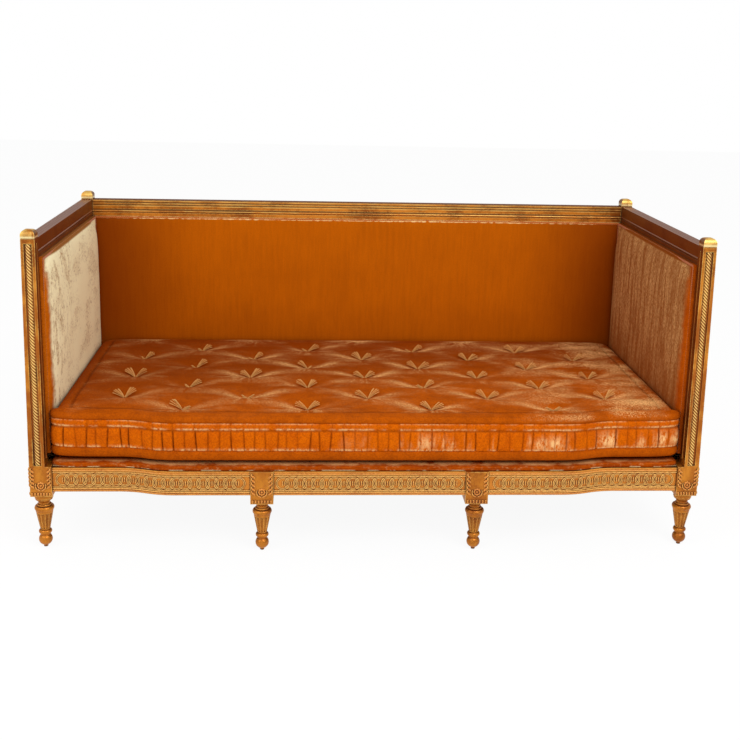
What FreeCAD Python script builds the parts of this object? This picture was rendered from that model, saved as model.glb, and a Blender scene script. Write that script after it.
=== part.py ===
import FreeCAD, Part
import math
import os

import Sketcher
from FreeCAD import Rotation, Vector

# A giltwood recamier with three sides of one height, a fixed upholstered deck and a loose tufted mattress.
# X runs to the right, the open front faces -Y, Z is up, and the floor is at 0 under the middle of the piece.
# The right half is built, and what stands on the left is its mirror image.

SIZES = {
    # Overall
    "overall_width": 2000,
    "overall_depth": 930,
    "overall_height": 964,
    # Corner posts: a square block, a tapered shaft and a rounded cap
    "leg_height": 170,
    "block_side": 64,
    "block_top": 263,
    "shaft_side": 45,
    "shaft_taper": 5,
    "cap_height": 26,
    "cap_neck": 2,
    "cap_neck_inset": 1,
    "cap_rounding": 15,
    "collar_radius": 27,
    # The sunk channel with its round moulding on the outer face of each shaft
    "channel_width": 23,
    "channel_depth": 5,
    "channel_foot": 4,
    "channel_head": 14,
    "rope_radius": 7,
    "rope_sink": 1.5,
    "side_bead_radius": 2.5,
    # Inner legs
    "leg_step": 28,
    "inner_leg_place": 320,
    "inner_block_width": 68,
    "inner_block_depth": 62,
    # Turned part of each leg, radii and heights from the top down
    "turned_height": 157,
    "cup_radius": 25,
    "cup_bottom": 152,
    "cup_hollow": 14,
    "neck_radius": 17,
    "neck_top": 142,
    "neck_bottom": 137,
    "bead_radius": 20,
    "bead_bottom": 131,
    "bead_bulge": 5,
    "ring_radius": 26,
    "ring_bottom": 118,
    "ring_bulge": 9,
    "taper_top": 115,
    "taper_top_radius": 25.5,
    "taper_bottom": 55,
    "taper_bottom_radius": 14,
    "ankle_ring_radius": 16,
    "ankle_ring_bottom": 43,
    "ankle_ring_bulge": 7,
    "ankle_radius": 14,
    "ball_top": 38,
    "ball_radius": 19,
    "ball_bottom": 6,
    "tip_radius": 7,
    "foot_radius": 6,
    # Flutes of the turned legs
    "flute_count": 12,
    "flute_top": 110,
    "flute_bottom": 60,
    "flute_top_radius": 4.2,
    "flute_bottom_radius": 2.4,
    "flute_rise": 0.6,
    # Seat rails: the front one steps forward in two S curves
    "seat_rail_bottom": 184,
    "seat_rail_height": 74,
    "seat_rail_thickness": 34,
    "seat_rail_setback": 6,
    "rail_step": 30,
    "curve_start": 575,
    "curve_end": 745,
    "band_margin": 12,
    "band_depth": 2,
    "bearer_width": 30,
    "bearer_height": 45,
    "bearer_drop": 14,
    # Framing of the back and of the two sides
    "top_rail_drop": 2,
    "top_rail_height": 58,
    "top_rail_thickness": 37,
    "top_rail_setback": 2,
    "tongue_height": 12,
    "front_rebate": 12,
    "back_rebate": 5,
    "lower_rail_bottom": 300,
    "lower_rail_height": 45,
    "stud_place": 320,
    "stud_width": 40,
    "top_reed_radius": 5,
    "top_reed_depth": 1.5,
    "rail_bead_radius": 4,
    "rail_bead_drop": 40,
    "face_line_width": 1.5,
    "face_line_depth": 2,
    "face_line_first": 9,
    "face_line_second": 17,
    "face_line_third": 32,
    "face_line_end": 39,
    # Mortise and tenon joints with their pegs
    "seat_tenon_length": 28,
    "seat_tenon_height": 44,
    "seat_tenon_thickness": 12,
    "frame_tenon_length": 15,
    "frame_tenon_height": 34,
    "frame_tenon_thickness": 10,
    "stud_tenon_length": 8,
    "tenon_gap": 0.2,
    "mortise_end_gap": 1,
    "peg_radius": 3,
    "peg_gap": 0.05,
    "peg_depth": 7,
    "peg_spread": 9,
    # Corner blocks and their screws
    "corner_block_reach": 70,
    "corner_block_height": 40,
    "corner_block_gap": 0.3,
    "screw_radius": 2,
    "screw_head_radius": 4,
    "screw_head_height": 3,
    "screw_bite": 20,
    "screw_hold": 12,
    "screw_place": 23,
    "screw_gap": 0.3,
    # Webbing, hessian, stuffing and covers
    "web_width": 50,
    "web_thickness": 2,
    "web_lap": 20,
    "cross_web_count": 16,
    "long_web_count": 6,
    "back_web_count": 10,
    "side_web_count": 4,
    "hessian_thickness": 1,
    "deck_pad_height": 15,
    "deck_cover_thickness": 2,
    "deck_setback": 4,
    "dust_cover_thickness": 1,
    "dust_cover_lap": 14,
    "cover_thickness": 2.5,
    "soft_gap": 0.3,
    "pad_bottom": 290,
    "pad_margin": 9,
    "side_pad_rise": 18,
    "side_pad_rounding": 15,
    "back_pad_rise": 4,
    "back_pad_rounding": 3,
    "side_pad_proud": 9,
    "back_pad_proud": 2,
    "gimp_width": 7,
    "gimp_thickness": 1.5,
    "tack_radius": 0.8,
    "tack_length": 12,
    "tack_head_radius": 3.5,
    "tack_head_height": 0.8,
    "tack_inset": 10,
    # Loose mattress
    "mattress_end_gap": 9,
    "mattress_height": 150,
    "mattress_rounding": 15,
    "tuft_spacing": 374,
    "tuft_row_spacing": 108,
    "tuft_row_count": 7,
    "tuft_front_place": -360,
    "tuft_radius": 11,
    "tuft_thickness": 3,
    "tuft_sink": 14,
    "tuft_well_radius": 15,
    "tie_radius": 1.5,
}

doc = FreeCAD.newDocument("recamier")
sheet = doc.addObject("Spreadsheet::Sheet", "Sizes")
for line, (alias, number) in enumerate(SIZES.items(), start=1):
    sheet.set(f"A{line}", alias)
    sheet.set(f"B{line}", str(number))
    sheet.setAlias(f"B{line}", alias)
doc.recompute()

pieces = {}
pegs = []
tacks = []


class Size:
    """A length in mm with the formula that gives it from the cells of the sheet."""

    def __init__(self, number, formula):
        self.number = number
        self.formula = formula

    def __add__(self, other):
        other = as_size(other)
        return Size(self.number + other.number, f"({self.formula} + {other.formula})")

    def __sub__(self, other):
        other = as_size(other)
        return Size(self.number - other.number, f"({self.formula} - {other.formula})")

    def __mul__(self, other):
        other = as_size(other)
        return Size(self.number * other.number, f"({self.formula} * {other.formula})")

    def __truediv__(self, other):
        other = as_size(other)
        return Size(self.number / other.number, f"({self.formula} / {other.formula})")

    def __neg__(self):
        return Size(-self.number, f"(-1 * {self.formula})")

    def __radd__(self, other):
        return as_size(other) + self

    def __rsub__(self, other):
        return as_size(other) - self

    def __rmul__(self, other):
        return as_size(other) * self


def as_size(value):
    return value if isinstance(value, Size) else Size(float(value), f"{value:g}")


def cell(alias):
    return Size(float(sheet.get(alias)), f"Sizes.{alias}")


def bind(thing, name, size):
    thing.setExpression(name, as_size(size).formula)


def place(thing, corner):
    for axis, size in zip("xyz", corner):
        bind(thing, f"Placement.Base.{axis}", size)


def keep(name, thing):
    thing.Label = name
    pieces[name] = thing
    return thing


def box(name, size, corner):
    solid = doc.addObject("Part::Box", name)
    for side, length in zip(("Length", "Width", "Height"), size):
        bind(solid, side, length)
    place(solid, corner)
    return solid


def span(name, x_range, y_range, z_range):
    """A box given by its lowest and highest place along each axis."""
    ranges = (x_range, y_range, z_range)
    return box(name, [high - low for low, high in ranges], [low for low, high in ranges])


def rod(name, radius, length, start, direction=(0, 0, 1)):
    solid = doc.addObject("Part::Cylinder", name)
    bind(solid, "Radius", radius)
    bind(solid, "Height", length)
    solid.Placement.Rotation = Rotation(Vector(0, 0, 1), Vector(*direction))
    place(solid, start)
    return solid


def group(name, things):
    together = doc.addObject("Part::Compound", name)
    together.Links = things
    return together


def fused(name, things):
    solid = doc.addObject("Part::MultiFuse", name)
    solid.Shapes = things
    solid.Refine = True
    return solid


def less(name, solid, *tools):
    """The solid with each tool cut from it in turn."""
    for number, tool in enumerate(tools, start=1):
        cut = doc.addObject("Part::Cut", name if number == len(tools) else f"{name}_{number}")
        cut.Base = solid
        cut.Tool = tool
        cut.Refine = True
        solid = cut
    return solid


def mirrored(name, thing, normal=(1, 0, 0)):
    other = doc.addObject("Part::Mirroring", name)
    other.Source = thing
    other.Normal = Vector(*normal)
    return other


def keep_pair(front, name, thing):
    """Keeps a right-hand piece and its mirror image on the left; front is the word before the side."""
    keep(f"{front}right_{name}", thing)
    keep(f"{front}left_{name}", mirrored(f"{front}left_{name}_mirror", thing))
    return thing


def outline(body, name, role, corners):
    """A closed sketch on one of the body's origin planes, every corner tied to the sheet.

    A corner is (x, y), or (x, y, side, radius) where an arc that turns to that side leaves it.
    """
    sketch = body.newObject("Sketcher::SketchObject", name)
    plane = next(part for part in body.Origin.OriginFeatures if part.Role == role)
    sketch.AttachmentSupport = [(plane, "")]
    sketch.MapMode = "FlatFace"
    edges = []
    rules = []
    formulas = {}
    for place_in_row, corner in enumerate(corners):
        following = corners[(place_in_row + 1) % len(corners)]
        start = Vector(as_size(corner[0]).number, as_size(corner[1]).number, 0)
        end = Vector(as_size(following[0]).number, as_size(following[1]).number, 0)
        turns_right = len(corner) > 2 and corner[2] == "right"
        if len(corner) > 2:
            edges.append(arc_between(start, end, corner[3].number, turns_right))
        else:
            edges.append(Part.LineSegment(start, end))
    first = [2 if len(corner) > 2 and corner[2] == "right" else 1 for corner in corners]
    for edge, corner in enumerate(corners):
        following = (edge + 1) % len(corners)
        rules.append(Sketcher.Constraint("Coincident", edge, 3 - first[edge], following, first[following]))
        for kind, axis, value in (("DistanceX", -2, corner[0]), ("DistanceY", -1, corner[1])):
            if not isinstance(value, Size):
                rules.append(Sketcher.Constraint("PointOnObject", edge, first[edge], axis))
                continue
            formulas[len(rules)] = value.formula
            rules.append(Sketcher.Constraint(kind, -1, 1, edge, first[edge], value.number))
        if len(corner) > 2:
            formulas[len(rules)] = corner[3].formula
            rules.append(Sketcher.Constraint("Radius", edge, corner[3].number))
    sketch.addGeometry(edges, False)
    sketch.addConstraint(rules)
    for rule, formula in formulas.items():
        sketch.setExpression(f"Constraints[{rule}]", formula)
    return sketch


def arc_between(start, end, radius, turns_right):
    """The shorter arc of that radius from start to end, as a curve that runs anticlockwise."""
    chord = end - start
    side = -1 if turns_right else 1
    to_middle = Vector(-chord.y, chord.x, 0).normalize() * side
    rise = math.sqrt(max(radius**2 - (chord.Length / 2) ** 2, 0))
    middle = (start + end) / 2 + to_middle * rise
    angles = [math.atan2(point.y - middle.y, point.x - middle.x) for point in (start, end)]
    if turns_right:
        angles.reverse()
    return Part.ArcOfCircle(Part.Circle(middle, Vector(0, 0, 1), radius), *angles)


def plate(name, corners, bottom, height, roundings=()):
    """A body with a closed outline in plan and upright walls; roundings are (above, radius) of its rims."""
    body = doc.addObject("PartDesign::Body", name)
    sketch = outline(body, f"{name}_plan", "XY_Plane", corners)
    pad = body.newObject("PartDesign::Pad", f"{name}_pad")
    pad.Profile = sketch
    bind(pad, "Length", height)
    place(body, (0, 0, bottom))
    base = pad
    for above, radius in roundings:
        doc.recompute()
        edge_level = as_size(height).number if above else 0.0
        rims = [f"Edge{number}" for number, edge in enumerate(base.Shape.Edges, start=1)
                if all(abs(vertex.Z - edge_level) < 1e-6 for vertex in edge.Vertexes)]
        fillet = body.newObject("PartDesign::Fillet", f"{name}_rim_{'top' if above else 'bottom'}")
        fillet.Base = (base, rims)
        bind(fillet, "Radius", radius)
        base = fillet
    return body


# Places that several pieces share
half_width = cell("overall_width") / 2
front = -cell("overall_depth") / 2
back = cell("overall_depth") / 2
post_front = front + cell("leg_step")
shaft_inside = half_width - cell("shaft_side")
block_inside = half_width - cell("block_side")
side_front = post_front + cell("shaft_side")
side_back = back - cell("shaft_side")
middle_depth = (post_front + back) / 2
shoulder = cell("overall_height") - cell("cap_height")
top_rail_top = shoulder - cell("top_rail_drop")
rail_bottom = cell("seat_rail_bottom")
rail_top = rail_bottom + cell("seat_rail_height")
rail_face = post_front + cell("seat_rail_setback")
rail_inside = rail_face + cell("seat_rail_thickness")
back_rail_face = back - cell("seat_rail_setback")
back_rail_inside = back_rail_face - cell("seat_rail_thickness")
side_rail_face = half_width - cell("seat_rail_setback")
side_rail_inside = side_rail_face - cell("seat_rail_thickness")
inner_leg_left = cell("inner_leg_place") - cell("inner_block_width") / 2
inner_leg_right = cell("inner_leg_place") + cell("inner_block_width") / 2
corner_axis = half_width - cell("block_side") / 2
deck_base = rail_top + 2 * cell("web_thickness")
deck_top = deck_base + cell("hessian_thickness") + cell("deck_pad_height") + cell("deck_cover_thickness")


def tenon_joint(name, root, direction, kind, peg_side):
    """A tenon at the middle of its root face, the mortise for it, and a peg through both.

    direction is (x, y) that the tenon points to, and peg_side is +1 or -1 along the other level axis.
    """
    length = cell(f"{kind}_tenon_length")
    height = cell(f"{kind}_tenon_height")
    thickness = cell(f"{kind}_tenon_thickness")
    gap = cell("tenon_gap")
    along = 0 if direction[0] else 1
    across = 1 - along
    forward = direction[along] > 0
    deep = length + cell("mortise_end_gap")
    tenon_size = [thickness, thickness, height]
    mortise_size = [thickness + 2 * gap, thickness + 2 * gap, height + 2 * gap]
    tenon_size[along] = length
    mortise_size[along] = deep
    tenon_corner = [root[0] - thickness / 2, root[1] - thickness / 2, root[2] - height / 2]
    mortise_corner = [value - gap for value in tenon_corner]
    tenon_corner[along] = root[along] if forward else root[along] - length
    mortise_corner[along] = root[along] if forward else root[along] - deep
    tenon = box(f"{name}_tenon", tenon_size, tenon_corner)
    mortise = box(f"{name}_mortise", mortise_size, mortise_corner)
    reach = thickness + 2 * cell("peg_depth")
    start = list(root)
    start[along] = root[along] + (length / 2 if forward else -length / 2)
    start[across] = root[across] + (reach / 2 if peg_side > 0 else -reach / 2)
    start[2] = root[2] + (cell("peg_spread") if along else -cell("peg_spread"))
    axis = [0, 0, 0]
    axis[across] = -peg_side
    peg = rod(f"{name}_peg", cell("peg_radius"), reach, start, axis)
    hole = rod(f"{name}_peg_hole", cell("peg_radius") + cell("peg_gap"), reach, start, axis)
    return {"tenon": tenon, "mortise": mortise, "peg": peg, "hole": hole}


def turned_leg(name, x, y):
    """One turned and fluted leg that stands on the floor around an upright axis."""
    body = doc.addObject("PartDesign::Body", name)
    ring_arc = cell("ring_bulge")
    ankle_arc = cell("ankle_ring_bulge")
    profile = outline(body, f"{name}_profile", "XZ_Plane", [
        (0, cell("turned_height")),
        (cell("cup_radius"), cell("turned_height")),
        (cell("cup_radius"), cell("cup_bottom"), "left", cell("cup_hollow")),
        (cell("neck_radius"), cell("neck_top")),
        (cell("neck_radius"), cell("neck_bottom")),
        (cell("bead_radius"), cell("neck_bottom"), "right", cell("bead_bulge")),
        (cell("bead_radius"), cell("bead_bottom")),
        (cell("ring_radius"), cell("bead_bottom"), "right", ring_arc),
        (cell("ring_radius"), cell("ring_bottom")),
        (cell("taper_top_radius"), cell("taper_top")),
        (cell("taper_bottom_radius"), cell("taper_bottom")),
        (cell("ankle_ring_radius"), cell("taper_bottom"), "right", ankle_arc),
        (cell("ankle_ring_radius"), cell("ankle_ring_bottom")),
        (cell("ankle_radius"), cell("ball_top"), "right", cell("ball_radius")),
        (cell("tip_radius"), cell("ball_bottom")),
        (cell("foot_radius"), 0),
        (0, 0),
    ])
    turning = body.newObject("PartDesign::Revolution", f"{name}_turning")
    turning.Profile = profile
    turning.ReferenceAxis = (profile, ["V_Axis"])
    turning.Angle = 360
    slope = (cell("taper_top_radius") - cell("taper_bottom_radius")) / (
        cell("taper_top") - cell("taper_bottom"))
    rounds = []
    for end in ("top", "bottom"):
        level = cell(f"flute_{end}")
        radius = cell(f"flute_{end}_radius")
        surface = cell("taper_bottom_radius") + slope * (level - cell("taper_bottom"))
        sketch = body.newObject("Sketcher::SketchObject", f"{name}_flute_{end}")
        plane = next(part for part in body.Origin.OriginFeatures if part.Role == "XY_Plane")
        sketch.AttachmentSupport = [(plane, "")]
        sketch.MapMode = "FlatFace"
        bind(sketch, "AttachmentOffset.Base.z", level)
        out = surface + cell("flute_rise")
        sketch.addGeometry([Part.Circle(Vector(out.number, 0, 0), Vector(0, 0, 1), radius.number)], False)
        sketch.addConstraint([
            Sketcher.Constraint("DistanceX", -1, 1, 0, 3, out.number),
            Sketcher.Constraint("PointOnObject", 0, 3, -1),
            Sketcher.Constraint("Radius", 0, radius.number),
        ])
        sketch.setExpression("Constraints[0]", out.formula)
        sketch.setExpression("Constraints[2]", radius.formula)
        rounds.append(sketch)
    flute = body.newObject("PartDesign::SubtractiveLoft", f"{name}_flute")
    flute.Profile = rounds[0]
    flute.Sections = [rounds[1]]
    ring = body.newObject("PartDesign::PolarPattern", f"{name}_flutes")
    ring.Originals = [flute]
    ring.Axis = (profile, ["V_Axis"])
    ring.Angle = 360
    bind(ring, "Occurrences", cell("flute_count"))
    body.Tip = ring
    place(body, (x, y, 0))
    return body


def corner_post():
    """The front right post: leg, collar, block, tapered shaft with its sunk moulding, neck and cap."""
    side = cell("shaft_side")
    taper = cell("shaft_taper")
    shaft_height = shoulder - cell("block_top")
    leg = turned_leg("corner_leg", corner_axis, post_front + cell("block_side") / 2)
    collar = rod("corner_collar", cell("collar_radius"), cell("leg_height") - cell("turned_height"),
                 (corner_axis, post_front + cell("block_side") / 2, cell("turned_height")))
    block = span("corner_block", (block_inside, half_width), (post_front, post_front + cell("block_side")),
                 (cell("leg_height"), cell("block_top")))
    shaft = tapered_bar("corner_shaft", (0, side), (0, side), (0, side - taper), (0, side - taper),
                        cell("block_top"), shoulder)
    neck_side = side - taper - 2 * cell("cap_neck_inset")
    neck_bottom = shoulder
    neck = box("corner_neck", (neck_side, neck_side, cell("cap_neck")),
               (shaft_inside + cell("cap_neck_inset"), side_front - neck_side - cell("cap_neck_inset"),
                neck_bottom))
    cap_bottom = neck_bottom + cell("cap_neck")
    cap_right = shaft_inside + side - taper
    cap_front = side_front - side + taper
    cap = plate("corner_cap", [(shaft_inside, cap_front), (cap_right, cap_front),
                               (cap_right, side_front), (shaft_inside, side_front)],
                cap_bottom, cell("overall_height") - cap_bottom, [(True, cell("cap_rounding"))])
    foot = cell("channel_foot")
    head = cell("channel_head")
    inset_foot = taper * foot / shaft_height
    inset_head = taper * (shaft_height - head) / shaft_height
    left = (side - taper - cell("channel_width")) / 2
    right = left + cell("channel_width")
    channel = tapered_bar(
        "corner_channel", (left, right), (side - inset_foot - cell("channel_depth"), side + taper),
        (left, right), (side - inset_head - cell("channel_depth"), side + taper),
        cell("block_top") + foot, shoulder - head)
    rope_sink = cell("rope_radius") + cell("rope_sink")
    rope = rod("corner_rope", cell("rope_radius"), shaft_height - foot - head,
               (shaft_inside + (left + right) / 2, side_front - side + inset_foot + rope_sink,
                cell("block_top") + foot), (0, taper.number, shaft_height.number))
    shaft_cut = less("corner_shaft_cut", shaft, channel)
    return fused("corner_post", [leg, collar, block, shaft_cut, neck, cap, rope])


def side_bead():
    """The thin round moulding on the front post's face towards the seat, above the deck."""
    bottom = deck_top + cell("side_bead_radius")
    return rod("front_side_bead", cell("side_bead_radius"),
               shoulder - cell("channel_head") - bottom,
               (shaft_inside, (side_front + post_front + cell("shaft_taper")) / 2, bottom))


def tapered_bar(name, low_x, low_y, high_x, high_y, bottom, top):
    """An upright bar at the front right post's inner back edge, its section given at both ends.

    x runs outwards from that edge and y forwards from it.
    """
    bar = doc.addObject("Part::Wedge", name)
    limits = {"Xmin": low_x[0], "Xmax": low_x[1], "Zmin": low_y[0], "Zmax": low_y[1],
              "X2min": high_x[0], "X2max": high_x[1], "Z2min": high_y[0], "Z2max": high_y[1],
              "Ymin": as_size(0), "Ymax": top - bottom}
    for name_of_limit, value in limits.items():
        bind(bar, name_of_limit, value)
    bar.Placement.Rotation = Rotation(Vector(1, 0, 0), 90)
    place(bar, (shaft_inside, side_front, bottom))
    return bar


def inner_leg(name, at_back):
    """A leg between rail sections: the turned part under a carved block as high as the rail."""
    depth = cell("inner_block_depth")
    block_front = back - depth if at_back else front
    block = span(f"{name}_block", (inner_leg_left, inner_leg_right), (block_front, block_front + depth),
                 (cell("turned_height"), rail_top))
    leg = turned_leg(f"{name}_turned", cell("inner_leg_place"), block_front + depth / 2)
    return fused(f"{name}_whole", [block, leg])


# Front rail outlines in plan, from the outer end to the middle, for the face and for shifted copies of it
curve_run = cell("curve_end") - cell("curve_start")
curve_radius = (curve_run * curve_run + cell("rail_step") * cell("rail_step")) / (4 * cell("rail_step"))
curve_middle = (cell("curve_start") + cell("curve_end")) / 2


def right_front_edge(shift, outer_end, inner_end):
    """Corners along the front line of the right half from outer_end inwards, moved back by shift."""
    far = rail_face + shift
    near = rail_face - cell("rail_step") + shift
    return [
        (outer_end, far),
        (cell("curve_end"), far, "left", curve_radius),
        (curve_middle, (far + near) / 2, "right", curve_radius),
        (cell("curve_start"), near),
        (inner_end, near),
    ]


def left_front_edge(shift, inner_end, outer_end):
    """Corners along the front line of the left half from inner_end outwards, moved back by shift."""
    far = rail_face + shift
    near = rail_face - cell("rail_step") + shift
    return [
        (-inner_end, near),
        (-cell("curve_start"), near, "right", curve_radius),
        (-curve_middle, (far + near) / 2, "left", curve_radius),
        (-cell("curve_end"), far),
        (-outer_end, far),
    ]


def seat_plan(setback, side, rear):
    """The plan of a layer of the seat: front line moved back by setback, ends at +-side, back at rear."""
    left = left_front_edge(setback, as_size(0), side)[1:]
    right = right_front_edge(setback, side, as_size(0))[:-1]
    return reversed_edge(left) + reversed_edge(right) + [(side, rear), (-side, rear)]


def reversed_edge(corners):
    """The same line walked the other way, its arcs turning to the other side."""
    turned = []
    swap = {"left": "right", "right": "left"}
    for number in range(len(corners) - 1, -1, -1):
        before = corners[number - 1] if number > 0 else ()
        corner = corners[number][:2]
        if len(before) > 2:
            corner = corner + (swap[before[2]], before[3])
        turned.append(corner)
    return turned


def seat_rails():
    """The front and back seat rails in three lengths each, and the side rails."""
    thickness = cell("seat_rail_thickness")
    height = cell("seat_rail_height")
    band_low = rail_bottom + cell("band_margin")
    band_high = rail_top - cell("band_margin")
    level = (rail_bottom + rail_top) / 2

    face = right_front_edge(as_size(0), block_inside, inner_leg_right)
    inside = right_front_edge(thickness, block_inside, inner_leg_right)
    bar = plate("front_right_bar", face + reversed_edge(inside), rail_bottom, height)
    front_of_band = right_front_edge(-thickness, block_inside, inner_leg_right)
    back_of_band = right_front_edge(cell("band_depth"), block_inside, inner_leg_right)
    band = plate("front_right_band", front_of_band + reversed_edge(back_of_band), band_low,
                 band_high - band_low)
    outer_joint = tenon_joint("front_rail_outer", (block_inside, rail_face + thickness / 2, level), (1, 0),
                              "seat", 1)
    near_middle = rail_face - cell("rail_step") + thickness / 2
    inner_joint = tenon_joint("front_rail_inner", (inner_leg_right, near_middle, level), (-1, 0), "seat", 1)
    sunk = less("front_right_sunk", bar, band)
    whole = fused("front_right_fused", [sunk, outer_joint["tenon"], inner_joint["tenon"]])
    keep_pair("front_", "seat_rail",
              less("front_right_rail", whole, outer_joint["hole"], inner_joint["hole"]))

    near = rail_face - cell("rail_step")
    centre = span("front_centre_bar", (-inner_leg_left, inner_leg_left), (near, near + thickness),
                  (rail_bottom, rail_top))
    centre_band = span("front_centre_band", (-inner_leg_left, inner_leg_left),
                       (near - thickness, near + cell("band_depth")), (band_low, band_high))
    centre_joint = tenon_joint("front_rail_centre", (inner_leg_left, near_middle, level), (1, 0), "seat", 1)
    centre_parts = [less("front_centre_sunk", centre, centre_band), centre_joint["tenon"],
                    mirrored("front_centre_left_tenon", centre_joint["tenon"])]
    keep("front_centre_seat_rail",
         less("front_centre_rail", fused("front_centre_fused", centre_parts), centre_joint["hole"],
              mirrored("front_centre_left_hole", centre_joint["hole"])))

    back_middle = back_rail_face - thickness / 2
    back_bar = span("back_right_bar", (inner_leg_right, block_inside), (back_rail_inside, back_rail_face),
                    (rail_bottom, rail_top))
    back_outer = tenon_joint("back_rail_outer", (block_inside, back_middle, level), (1, 0), "seat", -1)
    back_inner = tenon_joint("back_rail_inner", (inner_leg_right, back_middle, level), (-1, 0), "seat", -1)
    back_whole = fused("back_right_fused", [back_bar, back_outer["tenon"], back_inner["tenon"]])
    keep_pair("back_", "seat_rail",
              less("back_right_rail", back_whole, back_outer["hole"], back_inner["hole"]))

    back_centre = span("back_centre_bar", (-inner_leg_left, inner_leg_left),
                       (back_rail_inside, back_rail_face), (rail_bottom, rail_top))
    back_joint = tenon_joint("back_rail_centre", (inner_leg_left, back_middle, level), (1, 0), "seat", -1)
    back_parts = [back_centre, back_joint["tenon"],
                  mirrored("back_centre_left_tenon", back_joint["tenon"])]
    keep("back_centre_seat_rail",
         less("back_centre_rail", fused("back_centre_fused", back_parts), back_joint["hole"],
              mirrored("back_centre_left_hole", back_joint["hole"])))

    side_top = rail_top + cell("web_thickness")
    side_start = post_front + cell("block_side")
    side_end = back - cell("block_side")
    side_middle = side_rail_face - thickness / 2
    side_bar = span("side_bar", (side_rail_inside, side_rail_face), (side_start, side_end),
                    (rail_bottom, side_top))
    side_near = tenon_joint("side_rail_front", (side_middle, side_start, level), (0, -1), "seat", -1)
    side_far = tenon_joint("side_rail_back", (side_middle, side_end, level), (0, 1), "seat", -1)
    side_whole = fused("side_fused", [side_bar, side_near["tenon"], side_far["tenon"]])
    keep_pair("", "side_seat_rail", less("side_rail", side_whole, side_near["hole"], side_far["hole"]))
    return {"outer": outer_joint, "inner": inner_joint, "centre": centre_joint,
            "back_outer": back_outer, "back_inner": back_inner, "back_centre": back_joint,
            "side_front": side_near, "side_back": side_far}


def seat_bearers():
    """The two bars from front to back under the webbing, tenoned into the inner legs' blocks."""
    width = cell("bearer_width")
    top = rail_top - cell("bearer_drop")
    start = front + cell("inner_block_depth")
    end = back - cell("inner_block_depth")
    middle = top - cell("bearer_height") / 2
    place_x = cell("inner_leg_place")
    bar = span("bearer_bar", (place_x - width / 2, place_x + width / 2), (start, end),
               (top - cell("bearer_height"), top))
    near = tenon_joint("bearer_front", (place_x, start, middle), (0, -1), "frame", 1)
    far = tenon_joint("bearer_back", (place_x, end, middle), (0, 1), "frame", 1)
    whole = fused("bearer_fused", [bar, near["tenon"], far["tenon"]])
    keep_pair("", "seat_bearer", less("bearer", whole, near["hole"], far["hole"]))
    return near, far


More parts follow.
